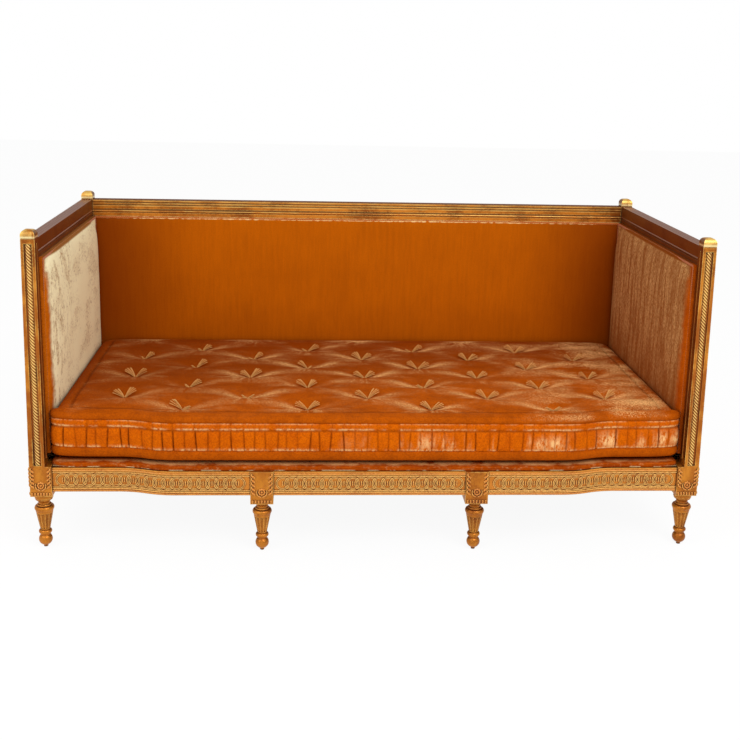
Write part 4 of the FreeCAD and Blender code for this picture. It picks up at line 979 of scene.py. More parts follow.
@dataclass
class RopeTwist:
    """The rope-twist moulding in the channel of each post."""

    foot: Triple = (0.975, -0.42847, 0.268)
    head: Triple = (0.975, -0.42360, 0.923)
    crest: float = 0.0085
    hollow: float = 0.0068
    strand: float = 0.0095
    turns: float = 2.5
    middle_depth: float = 0.014
    rows_to_strand: int = 10
    columns: int = 40

    def mesh(self, side: int, at_back: bool) -> Mesh:
        """One rope: r = hollow + (crest - hollow) |cos(turns angle + pi z / strand)|^0.6.

        Args:
            side: 1 for the right post, -1 for the left.
            at_back: Mirrors it to the back post.

        Returns:
            The rope's mesh.
        """
        start, end = np.array(self.foot), np.array(self.head)
        length = end[2] - start[2]
        z = np.linspace(0, length, int(length / self.strand * self.rows_to_strand))[:, None]
        angle = circle(self.columns)
        wave = np.abs(np.cos(self.turns * angle * side + math.pi * z / self.strand)) ** 0.6
        radius = self.hollow + (self.crest - self.hollow) * wave
        centre = start + (end - start) * (z / length)
        points = spread(centre[:, :1] + radius * np.cos(angle), centre[:, 1:2] + radius * np.sin(angle),
                        centre[:, 2:], wave)
        points[..., 0] *= side
        if at_back:
            points[..., 1] = 2 * self.middle_depth - points[..., 1]
        return tube(points)

    def build(self) -> None:
        """The four ropes."""
        for at_back in (False, True):
            for side in (-1, 1):
                name = f"{'back' if at_back else 'front'}_{'right' if side > 0 else 'left'}_rope"
                make(name, self.mesh(side, at_back), "frame", ROPE_GILT, 80.0, ("crest",))


@dataclass
class BlockCarving:
    """The boss, leaf sprays and lobed border carved on the blocks over the legs."""

    width: float = 0.064
    height: float = 0.093
    boss_radius: float = 0.0115
    boss_drop: float = 0.62
    relief: float = 0.0042
    sunk: float = 0.0012
    leaves: int = 5
    leaf_root: float = 0.30
    leaf_step: float = 0.13
    leaf_length: float = 0.15
    leaf_width: float = 0.0034
    cup: float = 1.30
    cup_width: float = 0.0028
    lobes: int = 7
    lobe_width: float = 0.0036
    lobe_top: float = 0.013
    lobe_length: float = 0.010

    def boss(self, middle: float) -> Mesh:
        """A round boss with eight petals: height falls from the button over the petals to the rim."""
        radius = np.linspace(0, 1, 15)[:, None]
        angle = circle(48)
        button = np.exp(-((radius / 0.34) ** 4))
        petals = (0.55 + 0.3 * np.abs(np.cos(4 * angle))) * np.exp(-(((radius - 0.72) / 0.24) ** 4))
        out = self.relief * np.maximum(button, petals)
        away = self.boss_radius * radius * (1 + 0.06 * np.cos(8 * angle) * (radius > 0.6))
        top = spread(away * np.cos(angle), middle + away * np.sin(angle), out)
        foot = top[-1:] * np.array([1, 1, 0]) - np.array([0, 0, self.sunk])
        return tube(np.concatenate([top, foot]))

    def leaf(self, path: np.ndarray, width: float, lobes: int) -> Mesh:
        """A lobed leaf along a path, ridged, its foot sunk in the block.

        Its half width is w (1 - t)^0.55 (0.7 + 0.5 |sin(lobes pi t)|).

        Args:
            path: Points (across, up) from its root to its tip.
            width: Half its width near the root.
            lobes: How many lobes its edge has.

        Returns:
            The leaf's mesh.
        """
        t = np.linspace(0, 1, len(path))[:, None]
        slope = np.gradient(path, axis=0)
        normal = np.stack([-slope[:, 1], slope[:, 0]], axis=-1)
        normal /= np.linalg.norm(normal, axis=1, keepdims=True)
        half = width * np.clip(1 - t, 0.02, 1) ** 0.55 * (0.7 + 0.5 * np.abs(np.sin(lobes * math.pi * t)))
        around = circle(14)
        ridge = np.sin(around) * (1 - 0.45 * np.exp(-((np.cos(around) / 0.25) ** 2)))
        rise = np.where(np.sin(around) > 0, ridge, 0.3 * np.sin(around))
        out = self.relief * (0.85 + 0.3 * np.sin(math.pi * t)) * rise
        flat = path[:, None, :] + (half * np.cos(around))[..., None] * normal[:, None, :]
        return tube(np.concatenate([flat, out[..., None]], axis=-1))

    def sprays(self, middle: float) -> list[Mesh]:
        """A stem of five curling leaves up each side, and one leaf that cups the boss from below."""
        t = np.linspace(0, 1, 16)
        half = self.width / 2
        leaves = []
        for side in (-1, 1):
            for step in range(self.leaves):
                root = self.leaf_root + self.leaf_step * step
                across = side * half * (0.60 + 0.32 * np.sin(t * math.pi * 0.62) - 0.10 * t**3)
                up = self.height * (root + self.leaf_length * t)
                leaves.append(self.leaf(spread(across, up), self.leaf_width, 2))
            across = side * self.boss_radius * self.cup * np.sin(0.2 + 1.9 * t)
            up = middle - self.boss_radius * self.cup * np.cos(0.2 + 1.9 * t)
            leaves.append(self.leaf(spread(across, up), self.cup_width, 3))
        return leaves

    def border(self) -> list[Mesh]:
        """A row of small lobes along the block's foot."""
        up = self.lobe_top - self.lobe_length * np.linspace(0, 1, 9)
        across = np.linspace(-0.40, 0.40, self.lobes) * self.width
        return [self.leaf(spread(middle, up), self.lobe_width, 1) for middle in across]

    def build(self, name: str, stance: Stance) -> None:
        """The whole carving on one face; the stance's origin is the middle of the block's foot."""
        middle = self.height * (1 - self.boss_drop)
        points, faces = joined([self.boss(middle), *self.sprays(middle), *self.border()])
        make(name, (stance.world(points), faces), "frame", CARVED_GILT, 70.0)


@dataclass
class FrontCarving:
    """The guilloche along the front rail, with its fillets."""

    line: FrontLine
    middle: float = 0.221
    spacing: float = 0.026
    ring: float = 0.0198
    inner_ring: float = 0.0160
    wire: float = 0.0014
    sink: float = 0.0022
    reach: float = 0.926
    block_from: float = 0.278
    block_to: float = 0.362
    spindle_length: float = 0.019
    spindle_radius: float = 0.0023
    fillet_reach: float = 0.935
    fillets: tuple[Span, ...] = ((0.2505, 0.0022), (0.2435, 0.0014), (0.1985, 0.0014), (0.1935, 0.0018),
                                 (0.1875, 0.0024))

    def laid(self, local: np.ndarray) -> np.ndarray:
        """Points (x, z, out) laid on the rail's sunk band: y = front(x) + sink - out."""
        return spread(local[..., 0], self.line.at(local[..., 0]) + self.sink - local[..., 2], local[..., 1])

    def ring_points(self, radius: float, lift: float) -> Mesh:
        """A thin round ring that rises over its neighbour on one side and dips under it on the other."""
        angle = circle(26)[:, None]
        around = circle(5)
        away = radius + self.wire * np.cos(around)
        out = lift + 0.0007 * np.cos(2 * angle + 0.9) + self.wire * np.sin(around)
        points = spread(away * np.cos(angle), away * np.sin(angle), out)
        return lattice(points, wrap_rows=True, wrap_columns=True)

    def spindle(self) -> Mesh:
        """A small upright lozenge for the eye between rings, round in section."""
        t = np.linspace(0.04, 0.96, 7)[:, None]
        around = circle(8)
        radius = self.spindle_radius * np.sin(math.pi * t)
        return tube(spread(radius * np.cos(around), (t - 0.5) * self.spindle_length,
                           0.001 + radius * np.sin(around)))

    def build(self) -> None:
        """Rings and spindles at every place clear of the inner legs' blocks, and the fillets."""
        count = int(2 * self.reach / self.spacing)
        places = np.linspace(-self.reach + self.ring, self.reach - self.ring, count)
        away = np.abs(places)
        places = places[(away < self.block_from - self.ring * 0.4) | (away > self.block_to + 0.008)]
        meshes = []
        for points, faces in (self.ring_points(self.ring, 0.0012), self.ring_points(self.inner_ring, 0.0009),
                              self.spindle()):
            moved = points[None] + np.array([1.0, 0, 0]) * places[:, None, None]
            moved[..., 1] += self.middle
            meshes.append(repeated(faces, self.laid(moved)))
        make("front_guilloche", joined(meshes), "frame", CARVED_GILT, 60.0)
        x = np.linspace(-self.fillet_reach, self.fillet_reach, 420)[:, None]
        around = circle(10)
        beads = []
        for height, radius in self.fillets:
            out = self.sink - 0.0004 + radius * np.sin(around)
            beads.append(tube(self.laid(spread(x, height + radius * np.cos(around), out))))
        make("front_fillets", joined(beads), "frame", CARVED_GILT, 60.0)


FINISHES: dict[str, Finish] = {
    "post": POST_GILT, "inner_leg": POST_GILT, "seat_rail": RAIL_GILT, "arm_top_rail": ARM_RAIL_GILT,
    "back_top_rail": BACK_RAIL_GILT, "lower_rail": BARE_WOOD, "bearer": BARE_WOOD, "stud": BARE_WOOD,
    "corner_blocks": BARE_WOOD, "joint_pegs": BARE_WOOD, "screws": STEEL, "tacks": STEEL,
    "webbing": JUTE, "hessian": HESSIAN, "tuft_ties": TWINE}


def dress() -> None:
    """Gives each CAD node the finish whose word its name holds."""
    for node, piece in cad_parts.items():
        for word, finish in FINISHES.items():
            if word in node:
                piece.data.materials.clear()
                piece.data.materials.append(finish.material())
                log.info("%s: %s", node, finish.label)


def carve() -> None:
    """Carvings on the fronts of the four front blocks, and on the outer sides of the corner ones."""
    corner = BlockCarving()
    inner = BlockCarving(width=0.068, height=0.101)
    for side, word in ((-1, "left"), (1, "right")):
        corner.build(f"front_{word}_carving", Stance((side * 0.968, -0.437, 0.170), *FRONT))
        inner.build(f"inner_{word}_carving", Stance((side * 0.320, -0.465, 0.157), *FRONT))
        for depth, end in ((-0.405, "front"), (0.433, "back")):
            stance = Stance((side * 1.0, depth, 0.170), (0.0, float(side), 0.0), (float(side), 0.0, 0.0))
            corner.build(f"{end}_{word}_side_carving", stance)


# Upholstery


@dataclass
class StuffedPad:
    """A pad drawn tight over a frame: a slab whose face swells to a crown with rounded corners."""

    width: float
    height: float
    slab: float
    rise: float
    power: float = 7.0
    columns: int = 110
    rows: int = 80
    edge: float = 0.003
    wave: float = 0.0007

    def mesh(self) -> Mesh:
        """Face out = slab + rise sqrt(1 - |u|^p - |v|^p), with slow waves, over a flat back.

        Returns:
            The pad's mesh as across, up and out from the middle of its back.
        """
        u = graded(self.columns, self.width, self.edge)[:, None] * 2 - 1
        v = graded(self.rows, self.height, self.edge)[None, :] * 2 - 1
        swell = np.sqrt(np.clip(1 - np.abs(u) ** self.power - np.abs(v) ** self.power, 0, 1))
        wave = np.sin(7 * u + 3 * v) * np.sin(5 * v - 2 * u) + 0.5 * np.sin(19 * u + 4 * v)
        out = self.slab + swell * (self.rise + self.wave * wave)
        face = spread(u * self.width / 2, v * self.height / 2, out)
        back = face * np.array([1, 1, 0])
        return slab(face, [rim(back) + np.array([0, 0, self.slab * 0.5])], back)


@dataclass
class BraidFrame:
    """Gimp down both ends of an upholstered face and along its top, laid that far out of its stance."""

    stance: Stance
    width: float
    height: float
    out: float
    margin: float = 0.0036
    half_width: float = 0.0034
    scallop: float = 0.005
    scallop_depth: float = 0.0005
    dome: float = 0.0009
    step: float = 0.0017

    def strip(self, start: np.ndarray, end: np.ndarray, side: np.ndarray) -> Mesh:
        """One length of gimp: a low dome whose edges scallop.

        Args:
            start: Its first end, as across, up and out.
            end: Its other end.
            side: The direction of its width.

        Returns:
            The strip's mesh.
        """
        length = np.linalg.norm(end - start)
        t = np.linspace(0, 1, int(length / self.step))[:, None, None]
        around = circle(10)[:, None]
        wave = np.cos(2 * math.pi * t * length / self.scallop)
        half = self.half_width + self.scallop_depth * wave
        dome = self.dome + self.dome * np.sin(around) * (1 + 0.25 * wave)
        flat = start + (end - start) * t + side * half * np.cos(around)
        return tube(flat + np.array([0.0, 0.0, 1.0]) * dome)

    def build(self, name: str) -> bpy.types.Object:
        """The three lengths as one piece of that name."""
        half = self.width / 2 - self.margin
        low, high = 0.001 - self.height / 2, self.height / 2 - self.margin
        corners = np.array([[x, z, self.out] for x, z in (
            (-half, low), (-half, high), (half, high), (half, low))])
        sides = np.array([[1.0, 0, 0], [0, 1.0, 0], [1.0, 0, 0]])
        points, faces = joined([self.strip(*run) for run in zip(corners[:-1], corners[1:], sides)])
        return make(name, (self.stance.world(points), faces), "frame", GIMP, 80.0)


@dataclass
class SideUpholstery:
    """The pad and gimp of one of the three sides."""

    name: str
    stance: Stance
    width: float
    height: float
    slab: float
    rise: float
    velvet: Velvet
    power: float = 7.0

    def build(self) -> None:
        """The pad and its gimp, in place of the CAD ones."""
        points, faces = StuffedPad(self.width, self.height, self.slab, self.rise, self.power).mesh()
        piece = make(f"{self.name}_stuffed_pad", (self.stance.world(points), faces), "frame",
                     self.velvet, 75.0)
        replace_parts(piece, f"{self.name}_pad")
        braid = BraidFrame(self.stance, self.width, self.height, self.slab)
        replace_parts(braid.build(f"{self.name}_braid"), f"{self.name}_gimp")


@dataclass
class OuterCover:
    """The velvet stretched over the outside of one side."""

    side: str
    stance: Stance
    width: float
    height: float

    def build(self) -> None:
        """A thin cloth, its face swelling 1.4 mm, in the CAD cover's place, and its gimp."""
        node = f"{self.side}_outer_cover"
        points, faces = StuffedPad(self.width, self.height, 0.0016, 0.0014, 30.0, 90, 50).mesh()
        piece = make(f"{node}_cloth", (self.stance.world(points), faces), "frame", OUTER_VELVET)
        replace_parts(piece, node)
        BraidFrame(self.stance, self.width, self.height, 0.0022, margin=0.006).build(f"{node}_braid")


@dataclass
class SeatForm:
    """A slab that follows the front line in plan: the deck, or the mattress's body."""

    line: FrontLine
    half: float
    back: float
    inset: float = 0.0
    ear: float = 0.0
    ear_depth: float = -0.398
    ear_run: float = 0.02
    rounding: float = 26.0

    def at(self, a: np.ndarray, b: np.ndarray) -> tuple[np.ndarray, np.ndarray]:
        """Plan of the square (a from -1 to 1, b from 0 to 1): front to back, corners rounded by a power mean.

        Args:
            a: Place along the length.
            b: Place from the front to the back.

        Returns:
            x and y.
        """
        front = self.line.at(a * self.half) + self.inset
        depth = self.back - front
        away = np.abs(2 * b - 1)
        shape = np.maximum(np.abs(a), away) / np.maximum(
            (np.abs(a) ** self.rounding + away**self.rounding) ** (1 / self.rounding), 1e-9)
        y = front + depth / 2 + depth * (b - 0.5) * shape
        step = np.clip((y - self.ear_depth) / self.ear_run, 0, 1)
        return a * shape * (self.half - self.ear * step * step * (3 - 2 * step)), y

    def grid(self, columns: int, rows: int, edge: float) -> tuple[np.ndarray, np.ndarray, np.ndarray]:
        """x, y and the distance in from the edge over a grid that is finer near its edges."""
        width = self.back - self.line.near
        a = graded(columns, 2 * self.half, edge)[:, None] * 2 - 1
        b = graded(rows, width, edge)[None, :]
        x, y = self.at(*np.broadcast_arrays(a, b))
        inward = np.minimum((1 - np.abs(a)) * self.half, np.minimum(b, 1 - b) * width)
        return x, y, inward

    def outline(self, count: int) -> tuple[np.ndarray, np.ndarray, np.ndarray]:
        """The edge at even steps: points, outward directions, and the run from the front left corner."""
        t = np.linspace(0, 1, 3000, endpoint=False)
        one, nought = np.ones_like(t), np.zeros_like(t)
        a = np.concatenate([t * 2 - 1, one, 1 - t * 2, -one])
        b = np.concatenate([nought, t, one, 1 - t])
        x, y = self.at(a, b)
        closed = np.stack([np.append(x, x[0]), np.append(y, y[0])], axis=-1)
        run = np.concatenate([[0], np.cumsum(np.linalg.norm(np.diff(closed, axis=0), axis=1))])
        along = np.linspace(0, run[-1], count, endpoint=False)
        points = np.stack([np.interp(along, run, closed[:, axis]) for axis in (0, 1)], axis=-1)
        return points, normals(points), along


@dataclass
class Deck:
    """The fixed velvet deck, whose rolled front edge shows under the mattress."""

    line: FrontLine
    bottom: float = 0.2585
    top: float = 0.2798
    half: float = 0.9352
    back: float = 0.4195
    inset: float = 0.010
    lip_fall: float = 0.0055
    lip_run: float = 0.028
    wave: float = 0.0006
    wall: tuple[Span, ...] = ((3.2, 0.66), (4.9, 0.55), (5.6, 0.43), (5.2, 0.30), (4.4, 0.16), (4.6, 0.06),
                              (3.0, 0.0))

    def build(self) -> None:
        """A slab with a slightly waved top, in place of the CAD deck and its cover.

        Its wall is given as millimetres outwards and a share of the height, from the soft lip down.
        """
        form = SeatForm(self.line, self.half, self.back, inset=self.inset, rounding=60.0)
        x, y, inward = form.grid(260, 90, 0.004)
        fall = self.lip_fall * np.clip(1 - inward / self.lip_run, 0, 1) ** 2
        top = spread(x, y, self.top - 0.001 - fall + self.wave * np.sin(23 * x) * np.sin(31 * y))
        base = spread(x, y, self.bottom)
        wall = np.array(self.wall) * [0.001, self.top - self.bottom] + [0, self.bottom]
        piece = make("deck_velvet", walled(top, wall, base), "frame", DECK_VELVET, 70.0)
        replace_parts(piece, "seat_deck_cover", "seat_deck_pad")


@dataclass
class MattressBorder:
    """The quilted border: two swelling bands, drawn in at their seams and at each ladder stitch."""

    form: SeatForm
    bottom: float
    steps: int = 2900
    stitch: float = 0.033
    stitch_width: float = 0.0022
    stitch_depth: float = 0.0050
    narrow: Span = (0.1265, 0.1035)
    wide: Span = (0.1010, 0.0385)
    seams: tuple[Span, ...] = ((0.1022, 0.0022), (0.0385, 0.0018))
    most: int = 400

    def swell(self, height: np.ndarray, band: Span, power: float, most: float) -> np.ndarray:
        """How far a band stands out: most sin(pi t)^power from its top to its foot."""
        top, foot = band
        return np.clip(np.sin(math.pi * (height - foot) / (top - foot)), 0, 1) ** power * most

    def build(self) -> None:
        """The border, whose stitches are unevenly spaced, slanted and tight."""
        points, normal, along = self.form.outline(self.steps)
        seed = np.random.default_rng(7)
        jitter = seed.uniform(-0.0055, 0.0055, self.most)
        number = (along / self.stitch).astype(int)
        away = (along - (number + 0.5) * self.stitch - jitter[number])[:, None]
        lean = seed.uniform(-0.08, 0.08, self.most)[number, None]
        pull = seed.uniform(0.35, 1.0, self.most)[number, None]
        height = np.concatenate([np.linspace(*self.narrow, 8), np.linspace(*self.wide, 16)])
        upper = height > self.wide[0]
        swell = np.where(upper, self.swell(height, self.narrow, 0.6, 0.0042),
                         self.swell(height, self.wide, 0.45, 0.0060))
        shift = away + lean * (height - 0.07)
        stitch = np.exp(-((shift / self.stitch_width) ** 2)) * np.where(upper, 0.35, 1.0) * pull
        groove = self.stitch_depth * stitch + 0.0008 * np.cos(shift * 2 * math.pi / self.stitch)
        outward = 0.0038 + swell - groove * np.clip(swell / 0.004, 0.2, 1)
        seams = sum(np.exp(-(((height - middle) / width) ** 2)) for middle, width in self.seams)
        x, y = points.T[..., None]
        normal_x, normal_y = normal.T[..., None]
        outer = spread(x + normal_x * outward, y + normal_y * outward, self.bottom + height,
                       np.maximum(stitch, seams * 0.8))
        inner_height = self.bottom + np.linspace(height[-1], height[0], 4)
        inner = spread(x + normal_x * 0.0008, y + normal_y * 0.0008, inner_height, 0.0)
        mesh = lattice(np.concatenate([outer, inner], axis=1), wrap_rows=True, wrap_columns=True)
        piece = make("mattress_border", mesh, "mattress", BORDER_VELVET, 80.0, ("stitch",))


@dataclass
class RibbonBows:
    """The ribbon bows: two fans of strips each, standing in a V out of every dimple.

    Each strip widens, rises, then levels off towards its tip. A fan that has fallen over is low and short.
    """

    tufts: TuftGrid
    top: float
    bottom: float
    strips: int = 4
    azimuth: float = 0.50
    opening: float = 0.27
    lift: Span = (0.52, 0.80)
    fallen: float = 1 / 7
    fallen_lift: float = 0.22
    length: Span = (0.044, 0.053)
    half_width: Span = (0.0009, 0.0023)
    half_thickness: float = 0.00028
    sunk: float = 0.0145

    def mesh(self, flipped: bool) -> Mesh:
        """The bows of one panel.

        Args:
            flipped: Lays them flat against the lower panel.

        Returns:
            The bows' mesh.
        """
        seed = np.random.default_rng(11)
        tufts = self.tufts.places()
        fans = len(tufts) * 2

        def by_fan(low: float, high: float) -> np.ndarray:
            """One random value for each fan, given to all of its strips."""
            return np.repeat(seed.uniform(low, high, fans), self.strips)

        fan = np.repeat(np.tile([1.0, -1.0], len(tufts)), self.strips)
        leaf = np.tile(np.linspace(-1, 1, self.strips), fans)
        turn = by_fan(-0.22, 0.22)
        azimuth = self.azimuth + turn + leaf * self.opening + seed.uniform(-0.06, 0.06, len(leaf))
        fallen = by_fan(0, 1) < self.fallen
        lift = np.where(fallen, self.fallen_lift, by_fan(*self.lift)) + leaf * 0.10
        length = by_fan(*self.length) * (1 - 0.1 * np.abs(leaf)) * np.where(fallen, 0.6, 1.0)
        if flipped:
            lift = np.full_like(lift, 0.06)
        t = np.linspace(0.06, 1, 6)[None, :, None]
        level = (np.cos(lift) * length)[:, None, None] * t
        rise = (np.sin(lift) * length)[:, None, None] * (t - 0.28 * t**2)
        flat = np.stack([fan * np.cos(azimuth), np.sin(azimuth)], axis=-1)[:, None, :]
        side = np.stack([-flat[..., 1], flat[..., 0]], axis=-1)
        narrow, wide = self.half_width
        half = narrow + (wide - narrow) * t
        base = np.repeat(tufts, 2 * self.strips, axis=0)[:, None, :]
        z = self.top - self.sunk + rise + 0.0010 * leaf[:, None, None]
        if flipped:
            z = np.broadcast_to(self.bottom + 0.0030 - 0.0006 * t, rise.shape)
        corners = []
        for across, up in ((-1, -1), (1, -1), (1, 1), (-1, 1)):
            plan = base + flat * level + side * half * across
            corners.append(np.concatenate([plan, z + up * self.half_thickness], axis=-1))
        rings = np.stack(corners, axis=2)
        _, faces = tube(rings[0])
        return repeated(faces, np.stack([tube(ring)[0] for ring in rings]))

    def build(self) -> None:
        """The bows of both panels, in place of the CAD discs."""
        for flipped, name, node in ((False, "ribbon_bows_above", "mattress_top_tufts"),
                                    (True, "ribbon_bows_below", "mattress_bottom_tufts")):
            piece = make(name, self.mesh(flipped), "mattress", RIBBON, 30.0)
            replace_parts(piece, node)


@dataclass
class Mattress:
    """The loose mattress: its body with a tufted top and rolled edges, its border and its bows."""

    line: FrontLine
    bottom: float = 0.2803
    top: float = 0.4303
    half: float = 0.952
    back: float = 0.4134
    inset: float = 0.010
    ear: float = 0.0246
    tufts: TuftGrid = TuftGrid()
    crown: float = 0.004
    crown_run: float = 0.12
    wave: float = 0.0008
    hollow: Triple = (0.080, 0.038, 0.0145)
    core: Span = (0.014, 0.0065)
    pucker: float = 0.0011
    seam_inward: float = 0.030
    seam_width: float = 0.0045
    seam_stitch: float = 0.021
    seam_depth: float = 0.0045
    edge_fall: float = 0.0035
    edge_run: float = 0.012
    wall: tuple[Span, ...] = (
        (3.5, 146.5), (6.5, 144), (8.7, 140), (9.6, 135.5), (9.2, 131), (7.6, 127.5), (4.4, 125), (2.2, 124),
        (2.0, 104), (2.0, 84), (2.0, 62), (2.2, 41), (4.4, 39.5), (7.6, 37), (9.3, 33), (9.7, 28),
        (9.2, 22.5), (7.6, 17.5), (5.0, 13.8), (2.2, 11.4))

    def form(self) -> SeatForm:
        """The body's plan, kept in from the border by the rolls."""
        return SeatForm(self.line, self.half - self.inset, self.back - self.inset, self.inset, self.ear)

    def dimples(self, x: np.ndarray, y: np.ndarray) -> np.ndarray:
        """Depth below the crown: a wide oval hollow and a narrow, deeper core at each tuft, with puckers.

        The hollow is given by its two radii and its depth, the core by its radius and its depth.
        """
        length, width, deep = self.hollow
        radius, deeper = self.core
        depth = np.zeros_like(x)
        for tuft_x, tuft_y in self.tufts.places():
            dx, dy = x - tuft_x, y - tuft_y
            turn = np.arctan2(dy, dx)
            far = np.sqrt((dx / length) ** 2 + (dy / width) ** 2)
            pucker = self.pucker * np.cos(7 * turn + 3 * tuft_x) * far * np.exp(-(far**2) * 1.6)
            depth += deep * np.exp(-(far**1.7)) + deeper * np.exp(-(dx**2 + dy**2) / radius**2) + pucker
        return depth

    def seam(self, x: np.ndarray, y: np.ndarray, inward: np.ndarray) -> np.ndarray:
        """The stitched line in from the edge, a bell in section that wanders, deeper at each stitch."""
        stitches = 0.75 + 0.25 * np.cos(2 * math.pi * (x + y) / self.seam_stitch)
        away = inward - self.seam_inward - 0.0012 * np.sin(43 * x + 29 * y)
        return np.exp(-((away / self.seam_width) ** 2)) * stitches

    def height(self, x: np.ndarray, y: np.ndarray, inward: np.ndarray) -> np.ndarray:
        """z of the top: a low crown with slow waves, less the dimples, the roll's groove and its fall."""
        crown = self.crown * np.clip(inward / self.crown_run, 0, 1) ** 0.7
        wave = self.wave * (np.sin(31 * x + 5 * y) * np.sin(37 * y) + np.sin(17 * x - 23 * y))
        groove = self.seam_depth * self.seam(x, y, inward)
        fall = self.edge_fall * np.clip(1 - inward / self.edge_run, 0, 1) ** 2
        fade = np.clip((inward - 0.02) / 0.03, 0, 1)
        return self.top - 0.0005 + crown + wave * fade - self.dimples(x, y) * fade - groove - fall

    def body(self) -> None:
        """The stuffed body with both panels; its wall, in millimetres out and up, makes the two rolls."""
        form = self.form()
        x, y, inward = form.grid(330, 150, 0.004)
        top = spread(x, y, self.height(x, y, inward), self.seam(x, y, inward))
        under = self.bottom + 0.001 + 0.35 * self.dimples(x, y) * np.clip(inward / 0.05, 0, 1)
        under = under + 0.009 * np.clip(1 - inward / 0.04, 0, 1) ** 2
        base = spread(x, y, under, 0.0)
        wall = np.array(self.wall) * 0.001 + [0, self.bottom]
        piece = make("tufted_mattress", walled(top, wall, base), "mattress", TOP_VELVET, 80.0,
                     ("seam",))
        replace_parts(piece, "mattress")

    def build(self) -> None:
        """The body, its border and its bows."""
        self.body()
        MattressBorder(self.form(), self.bottom).build()
        RibbonBows(self.tufts, self.top, self.bottom).build()


@dataclass
class DustCover:
    """The thin black cloth under the seat, notched round the legs and sagging a little."""

    line: FrontLine
    node: str = "dust_cover"
    sag: float = 0.004
    thickness: float = 0.0009
    half: float = 0.935
    corner: float = 0.9352
    block: Span = (0.2860, 0.3540)
    block_depth: float = 0.4025
    corner_front: float = -0.3725
    corner_back: float = 0.4005
    turn_in: float = 0.020

    def build(self) -> None:
        """z = level - sag (1 - u^2)(1 - v^2), cut in round the blocks by its front, back and side lines."""
        low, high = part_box(self.node)
        level = high[2] - self.thickness
        cuts = np.array([edge + step for edge in self.block for step in (-0.0002, 0.0002)])
        cuts = np.concatenate([cuts, [self.corner - 0.0001, high[0]]])
        x = np.unique(np.concatenate([np.linspace(-1, 1, 121) * self.half, cuts, -cuts]))[:, None]
        block = (np.abs(x) > self.block[0]) & (np.abs(x) < self.block[1])
        corner = np.abs(x) > self.corner
        start = np.where(block, -self.block_depth, self.line.at(x) + self.turn_in)
        start = np.where(corner, self.corner_front, start)
        end = np.where(block, self.block_depth, high[1])
        end = np.where(corner, self.corner_back, end)
        v = np.linspace(-1, 1, 41)[None, :]
        y = (start + end) / 2 + (end - start) / 2 * v
        z = level - self.sag * np.clip(1 - (x / self.half) ** 2, 0, 1) * (1 - v**2)
        sheet = spread(x, y, z)
        mesh = slab(sheet, [], sheet - np.array([0, 0, self.thickness]))
        piece = make("dust_cloth_sheet", mesh, "frame", DUST_CLOTH)
        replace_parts(piece, self.node)


@dataclass(frozen=True)
class Lamp:
    """A square soft light."""

    name: str
    at: Triple
    size: float
    power: float


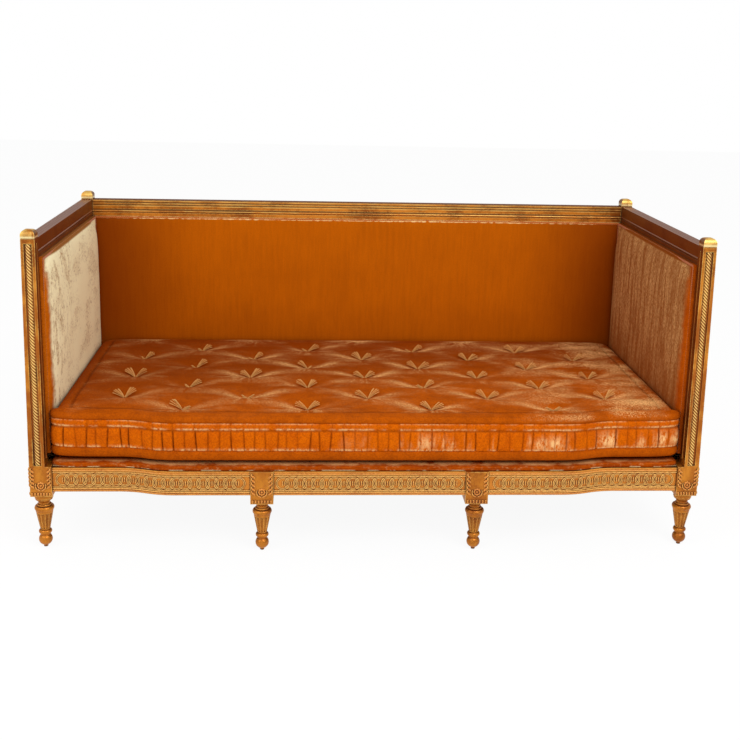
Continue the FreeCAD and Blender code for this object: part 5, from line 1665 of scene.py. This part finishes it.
@dataclass
class Studio:
    """The camera where the photo was taken from, soft light, and a pale floor."""

    lamps: tuple[Lamp, ...] = (Lamp("key_light", (1.6, -3.2, 3.4), 2.6, 92.0),
                               Lamp("fill_light", (-2.6, -2.4, 2.4), 2.4, 34.0))
    aim: Triple = (0.0, 0.0, 0.5)
    daylight: float = 0.58
    floor_side: float = 14.0
    floor_tone: Colour = (0.86, 0.86, 0.86, 1.0)
    floor_glow: float = 1.03
    floor_share: float = 0.9
    camera_at: Triple = (-0.1975, -3.4989, 1.4726)
    yaw: float = -0.0607
    pitch: float = -0.2212
    roll: float = -0.0226
    focal: float = 1093.69
    frame_side: float = 740.0
    shift_up: float = -73.0
    sensor: float = 36.0

    def camera(self) -> None:
        """Turns the camera by roll about its line of sight, pitch, then yaw about Z."""
        data = bpy.data.cameras.new("photo_camera")
        data.sensor_width = self.sensor
        data.lens = self.focal / self.frame_side * self.sensor
        data.shift_y = self.shift_up / self.frame_side
        data.clip_end = 50.0
        turned = (Matrix.Rotation(self.yaw, 3, "Z") @ Matrix.Rotation(self.pitch, 3, "X")
                  @ Matrix.Rotation(self.roll, 3, "Y"))
        right, ahead, up = (turned.col[index] for index in range(3))
        pose = Matrix((right, up, -ahead)).transposed().to_4x4()
        pose.translation = self.camera_at
        camera = bpy.data.objects.new("photo_camera", data)
        camera.matrix_world = pose
        bpy.context.scene.collection.objects.link(camera)
        bpy.context.scene.camera = camera

    def light(self, lamp: Lamp) -> None:
        """Makes a lamp aimed at the middle of the seat."""
        data = bpy.data.lights.new(lamp.name, "AREA")
        data.size = lamp.size
        data.energy = lamp.power
        made = bpy.data.objects.new(lamp.name, data)
        ahead = Vector(self.aim) - Vector(lamp.at)
        made.matrix_world = Matrix.Translation(lamp.at) @ ahead.to_track_quat("-Z", "Y").to_matrix().to_4x4()
        bpy.context.scene.collection.objects.link(made)

    def seen(self, paint: Paint) -> Socket:
        """1 for rays from the camera, and from gloss or glass, and 0 for light."""
        path = paint.node("ShaderNodeLightPath")
        camera, gloss, through = (paint.out(path, name) for name in (
            "Is Camera Ray", "Is Glossy Ray", "Is Transmission Ray"))
        return camera.top(gloss * 0.85).top(through)

    def world(self) -> None:
        """White behind the object, and an even light a little less strong than that."""
        paint = Paint(bpy.data.worlds.new("studio"))
        seen = paint.out(paint.node("ShaderNodeLightPath"), "Is Camera Ray")
        strength = paint.out(paint.node("ShaderNodeMapRange", None, {0: seen, 3: self.daylight, 4: 1.0}))
        sky = paint.node("ShaderNodeBackground", None, {"Color": WHITE, "Strength": strength})
        paint.node("ShaderNodeOutputWorld", None, {"Surface": paint.out(sky)})
        bpy.context.scene.world = paint.owner

    def floor(self) -> None:
        """A wide pale floor: mostly white to the camera, and it still takes the object's shadow."""
        paint = Paint(bpy.data.materials.new("studio_floor"))
        plain = paint.node("ShaderNodeBsdfDiffuse", None, {"Color": self.floor_tone})
        white = paint.node("ShaderNodeEmission", None, {"Color": WHITE, "Strength": self.floor_glow})
        blend = paint.node("ShaderNodeMixShader", None, {
            0: self.seen(paint) * self.floor_share, 1: paint.out(plain), 2: paint.out(white)})
        paint.node("ShaderNodeOutputMaterial", None, {"Surface": paint.out(blend)})
        data = bpy.data.meshes.new("studio_floor")
        side = self.floor_side
        data.from_pydata([(-side, -side, 0), (side, -side, 0), (side, side, 0), (-side, side, 0)], [],
                         [(0, 1, 2, 3)])
        place("studio_floor", data, paint.owner)

    def build(self) -> None:
        """The whole studio."""
        bpy.context.scene.view_settings.view_transform = "Standard"
        self.world()
        self.floor()
        for lamp in self.lamps:
            self.light(lamp)
        self.camera()


def upright(node: str, across: Triple, out: Triple) -> tuple[Stance, float, float]:
    """How an upright CAD cloth or pad stands.

    Args:
        node: The CAD node.
        across: The direction of its width, along X or Y.
        out: The direction that it faces.

    Returns:
        The stance in the middle of its hidden face, its width and its height.
    """
    low, high = (np.array(corner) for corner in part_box(node))
    size = high - low
    hidden = (low + high) / 2 - np.array(out) * size / 2
    return Stance(tuple(hidden.tolist()), across, out), float(size @ np.abs(across)), float(size[2])


def upholster() -> None:
    """Builds the pads of the two arms and the back, then their outer covers."""
    left, right = (-1.0, 0.0, 0.0), (1.0, 0.0, 0.0)
    ahead, behind = (0.0, -1.0, 0.0), (0.0, 1.0, 0.0)
    SideUpholstery("left_arm", *upright("left_arm_pad", ahead, right), 0.020, 0.018, LEFT_VELVET).build()
    SideUpholstery("right_arm", *upright("right_arm_pad", behind, left), 0.020, 0.018, RIGHT_VELVET).build()
    SideUpholstery("back", *upright("back_pad", right, ahead), 0.013, 0.004, BACK_VELVET, 14.0).build()
    for side, across, out in (("left_arm", behind, left), ("right_arm", ahead, right),
                              ("back", left, behind)):
        OuterCover(side, *upright(f"{side}_outer_cover", across, out)).build()


def main() -> None:
    """Builds the studio, the frame's carving and the upholstery."""
    logging.basicConfig(level=logging.INFO, format="%(name)s %(message)s")
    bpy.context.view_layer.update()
    Studio().build()
    line = FrontLine()
    dress()
    carve()
    RopeTwist().build()
    FrontCarving(line).build()
    upholster()
    Deck(line).build()
    DustCover(line).build()
    Mattress(line).build()


if __name__ == "__main__":
    main()
